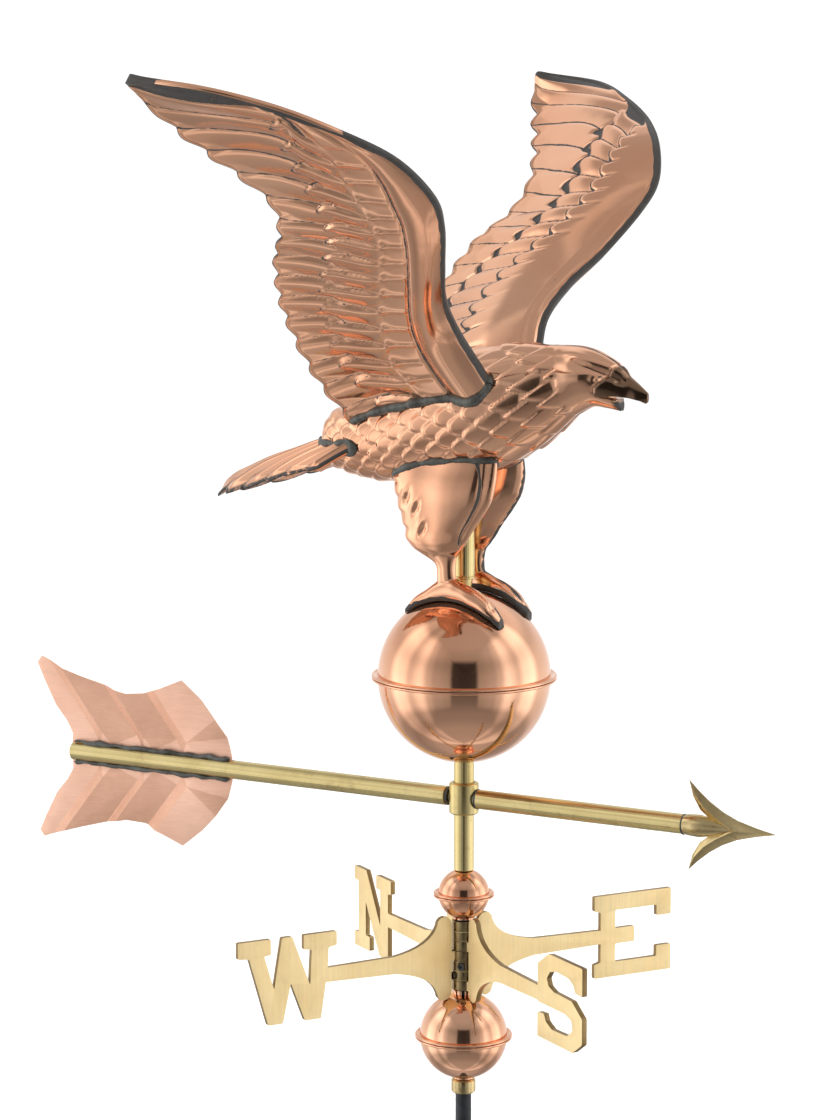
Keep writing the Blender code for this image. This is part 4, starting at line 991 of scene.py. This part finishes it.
def build_tail():
    """The fanned tail: ridged feathers, each longer than its outer neighbour."""
    down, rank = np.meshgrid(np.linspace(0.0, 1.0, TAIL_ROWS), np.linspace(-1.0, 1.0, TAIL_COLUMNS),
                             indexing="ij")
    tips = np.array(TAIL_TIPS)
    feather = np.abs(rank) * (len(tips) - 0.5) + 0.5
    part = feather % 1.0
    tip_x = np.interp(feather - 0.5, np.arange(len(tips)), tips[:, 0])
    tip_y = np.interp(feather - 0.5, np.arange(len(tips)), tips[:, 1]) * np.sign(rank)
    tip_x = tip_x + 5.0 * (1.0 - np.sin(np.pi * part) ** 0.6)
    root_x, root_y = -50.0, 19.0 * rank
    x = root_x + (tip_x - root_x) * down
    y = root_y + (tip_y - root_y) * down ** 0.85
    height, half_width, droop = (smooth_table(x, TAIL[:, 0], TAIL[:, column]) for column in (1, 2, 3))
    place = np.clip(np.abs(y) / half_width, 0.0, 1.0)
    level = height - droop * place ** 1.6
    dome = 2.0 * (1.0 - place ** 2) * np.minimum(1.0, half_width / 20.0)
    roof = to_edge(part) * 2.0
    ridge = 2.6 * (0.25 + 0.75 * roof) * smooth(1.0 - down, 0.0, 0.06)
    ridge += 0.7 * spot(part - 0.5, 0.07)
    edge = smooth(1.0 - np.abs(rank), 0.0, 0.05) * smooth(1.0 - down, 0.0, 0.05)
    top = np.stack([x, y, level + 0.95 + (dome + ridge - 0.6) * edge], axis=-1)
    bottom = np.stack([x, y, level - 0.95 - (dome + 0.6 * ridge - 0.4) * edge], axis=-1)
    mesh = closed_sheet("eagle_tail", top, bottom)
    # Painted shade in the valleys between tail feathers; the feather ends and outer edges are darker too.
    valley = drop(roof, 0.04, 0.20) * 0.62 * smooth(down, 0.05, 0.2)
    mark = np.maximum.reduce([valley, 0.62 * smooth(down, 0.955, 0.99),
                              0.9 * smooth(np.abs(rank), 0.972, 0.99)])
    heat = np.clip(drop(down, 0.15, 0.5) * (0.5 + 0.5 * waver(x, y, level, 14.0)), 0, 1)
    put_marks(mesh, patina=(mark, mark), heat=(0.4 * heat, heat))
    new_piece("eagle_tail", mesh, EAGLE_COPPER, "vane", ("tail_top", "tail_bottom"))
    columns = range(2, TAIL_COLUMNS - 2, 4)
    loop = np.concatenate([seam_on_body(top, columns), seam_on_body(bottom, columns)[::-1]])
    bead("solder_tail", loop, 2.6, 0.5, closed=True)


# ---------------------------------------------------------------- eagle: legs

# Leg sections from the top down: height, rear x, front x, half thickness, middle y
LEG = np.array([(436.0, -36.0, 30.0, 8.5, 15.2), (419.0, -37.0, 29.5, 11.0, 17.6),
                (410.0, -35.0, 27.0, 11.0, 17.6), (402.0, -33.0, 22.0, 10.0, 17.6),
                (393.0, -30.0, 15.5, 8.5, 17.5), (385.0, -27.5, 10.0, 7.0, 17.5),
                (378.5, -21.0, 6.0, 5.8, 17.5), (373.0, -11.0, 4.5, 5.0, 17.5),
                (366.0, -9.0, 4.5, 4.8, 17.5), (356.0, -10.0, 7.0, 5.0, 17.5)])[::-1]
# Foot sections from heel to toe: x, top height, half width
FOOT = np.array([(-28.5, 345.5, 2.5), (-23.0, 351.5, 4.2), (-15.0, 357.0, 5.0), (-7.0, 362.5, 5.5),
                 (2.0, 364.5, 6.0), (10.0, 361.5, 6.2), (19.0, 357.5, 6.0), (27.0, 351.5, 5.5),
                 (33.5, 343.5, 3.0)])
FOOT_MIDDLE = 17.5
# The crease down the front of the thigh, as a share of its half thickness; dents in its side: x, height
CREASE = 0.5
DIMPLES = [(-17.0, 405.0), (-13.5, 392.5), (-24.0, 411.0)]
# Globes: height of the centre, radius, radius of the seam flange
BALL = (304.0, 50.8, 54.4)
VOXEL = 0.75
SHANK_GRID = (150, 120)
FOOT_GRID = (110, 64)


def ball_top(x, y, gap=0.3):
    height, radius, _ = BALL
    return height + np.sqrt(np.maximum((radius + gap) ** 2 - x ** 2 - y ** 2, 0.0))


def shank_rings():
    """Cross-sections of the thigh and shank, from the foot up into the body."""
    height, angle = sweep(LEG[0, 0], LEG[-1, 0], *SHANK_GRID)
    rear, front, thick, middle = (smooth_table(height, LEG[:, 0], LEG[:, column])
                                  for column in (1, 2, 3, 4))
    along = np.cos(angle)
    out = np.sin(angle)
    x = (rear + front) / 2 + along * (front - rear) / 2
    y = middle + out * thick
    thigh = smooth(height, 380.0, 392.0)
    seam = -1.8 * spot(out - CREASE, 0.13) * (along > 0) * thigh
    seam += 1.0 * spot(out - CREASE + 0.4, 0.25) * (along > 0) * thigh
    bulge = 1.0 * (np.abs(out) ** 0.6) * thigh
    lip = 1.2 * smooth(height, 377.0, 381.0) * drop(height, 384.0, 392.0)
    dimples = np.zeros_like(x)
    for place_x, place_z in DIMPLES:
        across = (x - place_x) - 0.5 * (height - place_z)
        length = (height - place_z) + 0.5 * (x - place_x)
        dimples -= 1.7 * spot(across, 1.5) * spot(length, 5.0)
        dimples += 0.9 * spot(across + 3.0, 1.6) * spot(length, 5.5)
    steps = np.abs((height / 9.0 + 0.3) % 1.0 - 0.2)
    fringe = 1.6 * (0.5 - steps) * smooth(-along, 0.7, 1.0) * thigh
    push = seam + bulge + lip + dimples * thigh + fringe - 0.8
    length = np.hypot(along, out)
    return np.stack([x + push * along / length, y + push * out / length, height], axis=-1)


def foot_rings():
    """Cross-sections of the foot from heel to toe, over the top of the ball."""
    x, angle = sweep(FOOT[0, 0] - 0.5, FOOT[-1, 0] + 0.5, *FOOT_GRID)
    top = smooth_table(x, FOOT[:, 0], FOOT[:, 1])
    half_width = smooth_table(x, FOOT[:, 0], FOOT[:, 2])
    bottom = ball_top(x, FOOT_MIDDLE) - 2.0
    across = np.cos(angle)
    up = np.sin(angle)
    toes = smooth(x, 6.0, 14.0)
    groove = -1.5 * (spot(across - 0.38, 0.13) + spot(across + 0.38, 0.13)) * toes * (up > -0.2)
    claw = -1.0 * spot(x - 28.5, 1.1)
    push = groove + claw + 0.5 * toes * np.abs(across)
    y = FOOT_MIDDLE + across * (half_width + 0.4 * toes)
    z = (top + bottom) / 2 + up * ((top - bottom) / 2 + push)
    return np.stack([x, y, z], axis=-1)


def remeshed(name, rings_list):
    """One smooth skin over several overlapping solids."""
    points = []
    faces = []
    for rings in rings_list:
        mesh = closed_loft("part", rings)
        base = len(points)
        points += positions(mesh).tolist()
        faces += [tuple(base + vertex for vertex in face.vertices) for face in mesh.polygons]
    item = add_object(name, mesh_of(name, points, faces))
    remesh = item.modifiers.new("skin", "REMESH")
    remesh.mode = "VOXEL"
    remesh.voxel_size = VOXEL * MM
    relax = item.modifiers.new("soften", "SMOOTH")
    relax.factor = 0.5
    relax.iterations = 3
    mesh = baked(item)
    mesh.name = name
    mesh.shade_smooth()
    mesh.materials.clear()
    return mesh


def leg_marks(side, points, near_ball):
    """Darkness and warmth of a leg: the solder at the foot, painted shade in the crease and the heated inner
    side.
    """
    x, y, z = points.T
    band = drop(near_ball, 3.2 + 0.8 * waver(x, y, z, 9.0), 4.8)
    rear, front, thick = (smooth_table(z, LEG[:, 0], LEG[:, column]) for column in (1, 2, 3))
    ahead = smooth(x, (rear + front) / 2, (rear + front) / 2 + 4.0)
    # Painted shade down the crease at the front of the thigh.
    crease = spot((y - FOOT_MIDDLE) / thick - CREASE, 0.09) * ahead * smooth(z, 378.0, 388.0) * 0.85
    inner = smooth(18.0 + 5.0 * (side > 0) - y, 0.0, 3.0)
    far_edges = (0.85 + 0.4 * waver(x, y, z, 12.0)) * spot(y - 17.2, 1.9) * (side > 0)
    warm = np.clip(inner * (0.9 + 0.15 * waver(x, y, z, 12.0)), 0.0, 1.0)
    return np.maximum.reduce([band, crease, far_edges]), warm


def build_leg(side, name):
    """One leg whose foot lies on the ball; side is -1 for the right leg and 1 for the left."""
    shank = shank_rings()
    mesh = remeshed(name, [shank, foot_rings()])
    points = positions(mesh)
    centre = np.array((0.0, 0.0, BALL[0]))
    offset = points - centre
    distance = np.linalg.norm(offset, axis=1)
    floor = BALL[1] + 0.35
    low = distance < floor
    points[low] = centre + offset[low] / distance[low, None] * floor
    patina, heat = leg_marks(side, points, np.linalg.norm(points - centre, axis=1) - BALL[1])
    put_marks(mesh, patina=patina, heat=heat)
    points[:, 1] *= side
    mesh.vertices.foreach_set("co", (points * MM).astype(np.float32).ravel())
    if side < 0:
        mesh.flip_normals()
    half = name.replace("eagle_", "")
    new_piece(name, mesh, EAGLE_COPPER, "vane", (half + "_inner", half + "_outer"))
    loop = seam_on_body(shank[::-1], range(0, shank.shape[1], 4))
    loop[:, 1] *= side
    bead(f"solder_{half}", loop, 2.2, 0.4, closed=True)


# ---------------------------------------------------------------- turned copper

TURN_STEPS = 144
# How far each half shell stays from the seam plane
SEAM_GAP = 0.15


def turned(name, outline, body, replaced):
    """A closed outline (radius, height) in millimetres, turned about Z into polished copper."""
    outline = np.asarray(outline, dtype=float)
    angle = np.linspace(0.0, 2 * np.pi, TURN_STEPS, endpoint=False)
    rings = np.stack([outline[:, 0, None] * np.cos(angle), outline[:, 0, None] * np.sin(angle),
                      outline[:, 1, None] * np.ones(TURN_STEPS)], axis=-1)
    mesh = closed_ring(name, rings)
    mesh.set_sharp_from_angle(angle=math.radians(50.0))
    clean = np.zeros(len(mesh.vertices))
    put_marks(mesh, patina=clean, heat=clean)
    return new_piece(name, mesh, BALL_COPPER, body, replaced)


def on_arc(radius, angles):
    """Profile points (radius, height) of a sphere at the given angles above its seam."""
    return [(radius * math.cos(angle), radius * math.sin(angle)) for angle in angles]


def ball_half(name, globe, side, opening, neck, body):
    """One spun half: the top one has the rolled bead that folds over the lower one's flange."""
    height, radius, flange = globe
    pole = math.acos(opening / radius)
    lip = 0.9 if side > 0 else 0.6
    outer = on_arc(radius, np.linspace(pole, math.asin((SEAM_GAP + lip) / radius), 60))
    roll = min(1.15, (flange - radius) * 0.38)
    middle = SEAM_GAP + roll * 0.55
    hollow = [(radius + 0.35, SEAM_GAP + lip + 0.15), (radius + 0.9, SEAM_GAP + lip - 0.05)]
    curl = [(flange - roll + roll * math.cos(angle), max(middle + roll * 0.75 * math.sin(angle), 0.16))
            for angle in np.linspace(2.4, -1.45, 14)]
    under = [(radius + 0.2, 0.16)]
    inside = radius - SHEET
    inner = on_arc(inside, np.linspace(math.asin(0.3 / inside), math.acos(opening / inside), 30))
    outline = outer + hollow + curl + under + inner
    if neck > 0.0:
        pole_height = radius * math.sin(pole)
        rim = opening + SHEET
        outline[0] = (rim, radius * math.sin(math.acos(rim / radius)))
        outline = [(opening, pole_height + neck), (rim, pole_height + neck)] + outline
    outline = [(r, height + side * z) for r, z in outline]
    return turned(name + "_shell", outline, body, (name,))


LOWER_GLOBE = (87.6, 26.0, 28.9)
UPPER_GLOBE = (173.5, 15.2, 18.0)
# Half shells: CAD node, globe, side, radius of the hole, height of the neck, body
HALVES = [("lower_globe_bottom", LOWER_GLOBE, -1, 5.6, 0.6, "mast"),
          ("upper_globe_bottom", UPPER_GLOBE, -1, 5.6, 0.6, "mast"),
          ("upper_globe_top", UPPER_GLOBE, 1, 5.3, 0.0, "mast"),
          ("ball_bottom", BALL, -1, 6.3, 0.0, "vane"),
          ("ball_top", BALL, 1, 5.0, 0.0, "vane"),
          ("lower_globe_top", LOWER_GLOBE, 1, 5.6, 0.0, "mast")]


def build_globes():
    for half in HALVES:
        ball_half(*half)
    for number in range(4):
        neck_tab(number)


def neck_tab(number):
    """One of the four bent tabs of the lower globe's slotted neck."""
    rise, turn = np.meshgrid(np.linspace(0.0, 1.0, 8), np.linspace(-0.5, 0.5, 12), indexing="ij")
    angle = math.radians(72.0 + 90.0 * number) + turn * math.radians(72.0)
    height = 112.9 + 2.9 * rise
    flare = 0.25 * rise ** 2
    outer, inner = (np.stack([(radius + flare) * np.cos(angle), (radius + flare) * np.sin(angle), height],
                             axis=-1) for radius in (6.35, 5.65))
    mesh = closed_sheet(f"neck_tab_{number}", outer, inner)
    count = len(mesh.vertices)
    put_marks(mesh, patina=np.zeros(count), heat=np.full(count, 0.4))
    new_piece(f"neck_tab_{number}", mesh, BALL_COPPER, "mast")


# ---------------------------------------------------------------- brass and steel parts

SAME_POINT = 0.000002
FLAT_ANGLE = math.radians(1.0)
BEVEL_ANGLE = math.radians(32.0)
SHARP_ANGLE = math.radians(38.0)


def refined(node, name, body, materials, bevel, pick=lambda face: 0):
    """A copy of a CAD node's mesh with rounded edges, and a material for each group of faces."""
    mesh = NODES[node].data.copy()
    mesh.name = name
    mesh.materials.clear()
    for material in materials:
        mesh.materials.append(material)
    work = bmesh.new()
    work.from_mesh(mesh)
    bmesh.ops.remove_doubles(work, verts=work.verts, dist=SAME_POINT)
    bmesh.ops.dissolve_limit(work, angle_limit=FLAT_ANGLE, verts=work.verts, edges=work.edges)
    for face in work.faces:
        face.smooth = True
        face.material_index = pick(face)
    sharp = [edge for edge in work.edges if len(edge.link_faces) == 2
             and edge.calc_face_angle(0.0) > BEVEL_ANGLE]
    bmesh.ops.bevel(work, geom=sharp, offset=bevel * MM, offset_type="OFFSET", segments=2, profile=0.6,
                    affect="EDGES", clamp_overlap=True)
    bmesh.ops.remove_doubles(work, verts=work.verts, dist=SAME_POINT)
    work.to_mesh(mesh)
    work.free()
    mesh.set_sharp_from_angle(angle=SHARP_ANGLE)
    return new_piece(name, mesh, materials[0], body, (node,))


LETTER_HEADINGS = {"east": 57.5, "north": 147.5, "west": 237.5, "south": 327.5}


def build_letters():
    for word, heading in LETTER_HEADINGS.items():
        angle = math.radians(heading)
        across = Vector((-math.sin(angle), math.cos(angle), 0.0))

        def pick(face):
            if face.calc_center_median().xy.length < 0.0085:
                return 2
            return 0 if abs(face.normal.dot(across)) > 0.9 else 1

        refined(f"direction_{word}", f"letter_{word}", "mast",
                (LETTER_BRASS, EDGE_BRASS, RING_BRASS), 0.35, pick)


def paint_node(name, material):
    """Give a CAD node that keeps its shape its finished material and smooth shading."""
    node = NODES[name]
    node.data.materials.clear()
    node.data.materials.append(material)
    node.data.shade_smooth()
    node.data.set_sharp_from_angle(angle=SHARP_ANGLE)


def build_fittings():
    refined("arrow_head", "broadhead", "vane", (CAST_BRASS,), 0.22)
    # The narrow fold faces, picked by their normal, get the darker satin copper as painted shade.
    refined("arrow_tail", "fletching", "vane", (SATIN_COPPER, SHADED_FOLD_COPPER), 0.12,
            lambda face: 1 if abs(face.normal.x) > 0.14 and abs(face.normal.y) > 0.8 else 0)
    refined("arrow_hub", "tee", "vane", (TUBE_BRASS,), 0.3)
    refined("set_collar", "collar", "mast", (CAST_BRASS,), 0.3)
    for name in ("spindle_tube", "spigot", "eagle_post"):
        paint_node(name, TUBE_BRASS)
    for name in ("arrow_shaft_rear", "arrow_shaft_front"):
        paint_node(name, SHAFT_BRASS)
    paint_node("mounting_rod", BLACK_STEEL)
    for name in NODES:
        if "screw" in name or name == "thrust_ball":
            paint_node(name, SCREW_STEEL)


ARROW_HEIGHT = 231.5
SHAFT_RADIUS = 5.75
# Solder rings on the shafts: name, x, radius of the ring, radius of the bead
SHAFT_SEAMS = [("tee_solder_front", 9.6, 5.2, 0.9), ("tee_solder_rear", -9.6, 5.2, 0.9),
               ("head_solder", 143.2, 5.75, 0.45)]


def build_arrow_solder():
    """Dark solder where the tail sheet meets the tube, at the tee and behind the arrow head."""
    x = np.linspace(-279.0, -163.0, 90)
    for number, (side, up) in enumerate(((-1, 1), (-1, -1), (1, 1), (1, -1))):
        wobble = 0.7 * waver(x, x * 0, x * 0, 13.0, number)
        height = ARROW_HEIGHT + up * (SHAFT_RADIUS + 0.5 + wobble)
        path = np.stack([x, np.full_like(x, side * 1.7), height], axis=1)
        bead(f"tail_solder_{number}", path, 1.5, 0.45)
    angle = np.linspace(0.0, 2 * np.pi, 40, endpoint=False)
    for name, place, radius, size in SHAFT_SEAMS:
        path = np.stack([np.full_like(angle, place), radius * np.cos(angle),
                         ARROW_HEIGHT + radius * np.sin(angle)], axis=1)
        bead(name, path, size, 0.4, closed=True)


def main():
    add_studio()
    build_body()
    build_wing(-1, "eagle_wing_right")
    build_wing(1, "eagle_wing_left")
    build_tail()
    build_leg(-1, "eagle_leg_right")
    build_leg(1, "eagle_leg_left")
    build_globes()
    build_letters()
    build_fittings()
    build_arrow_solder()


main()
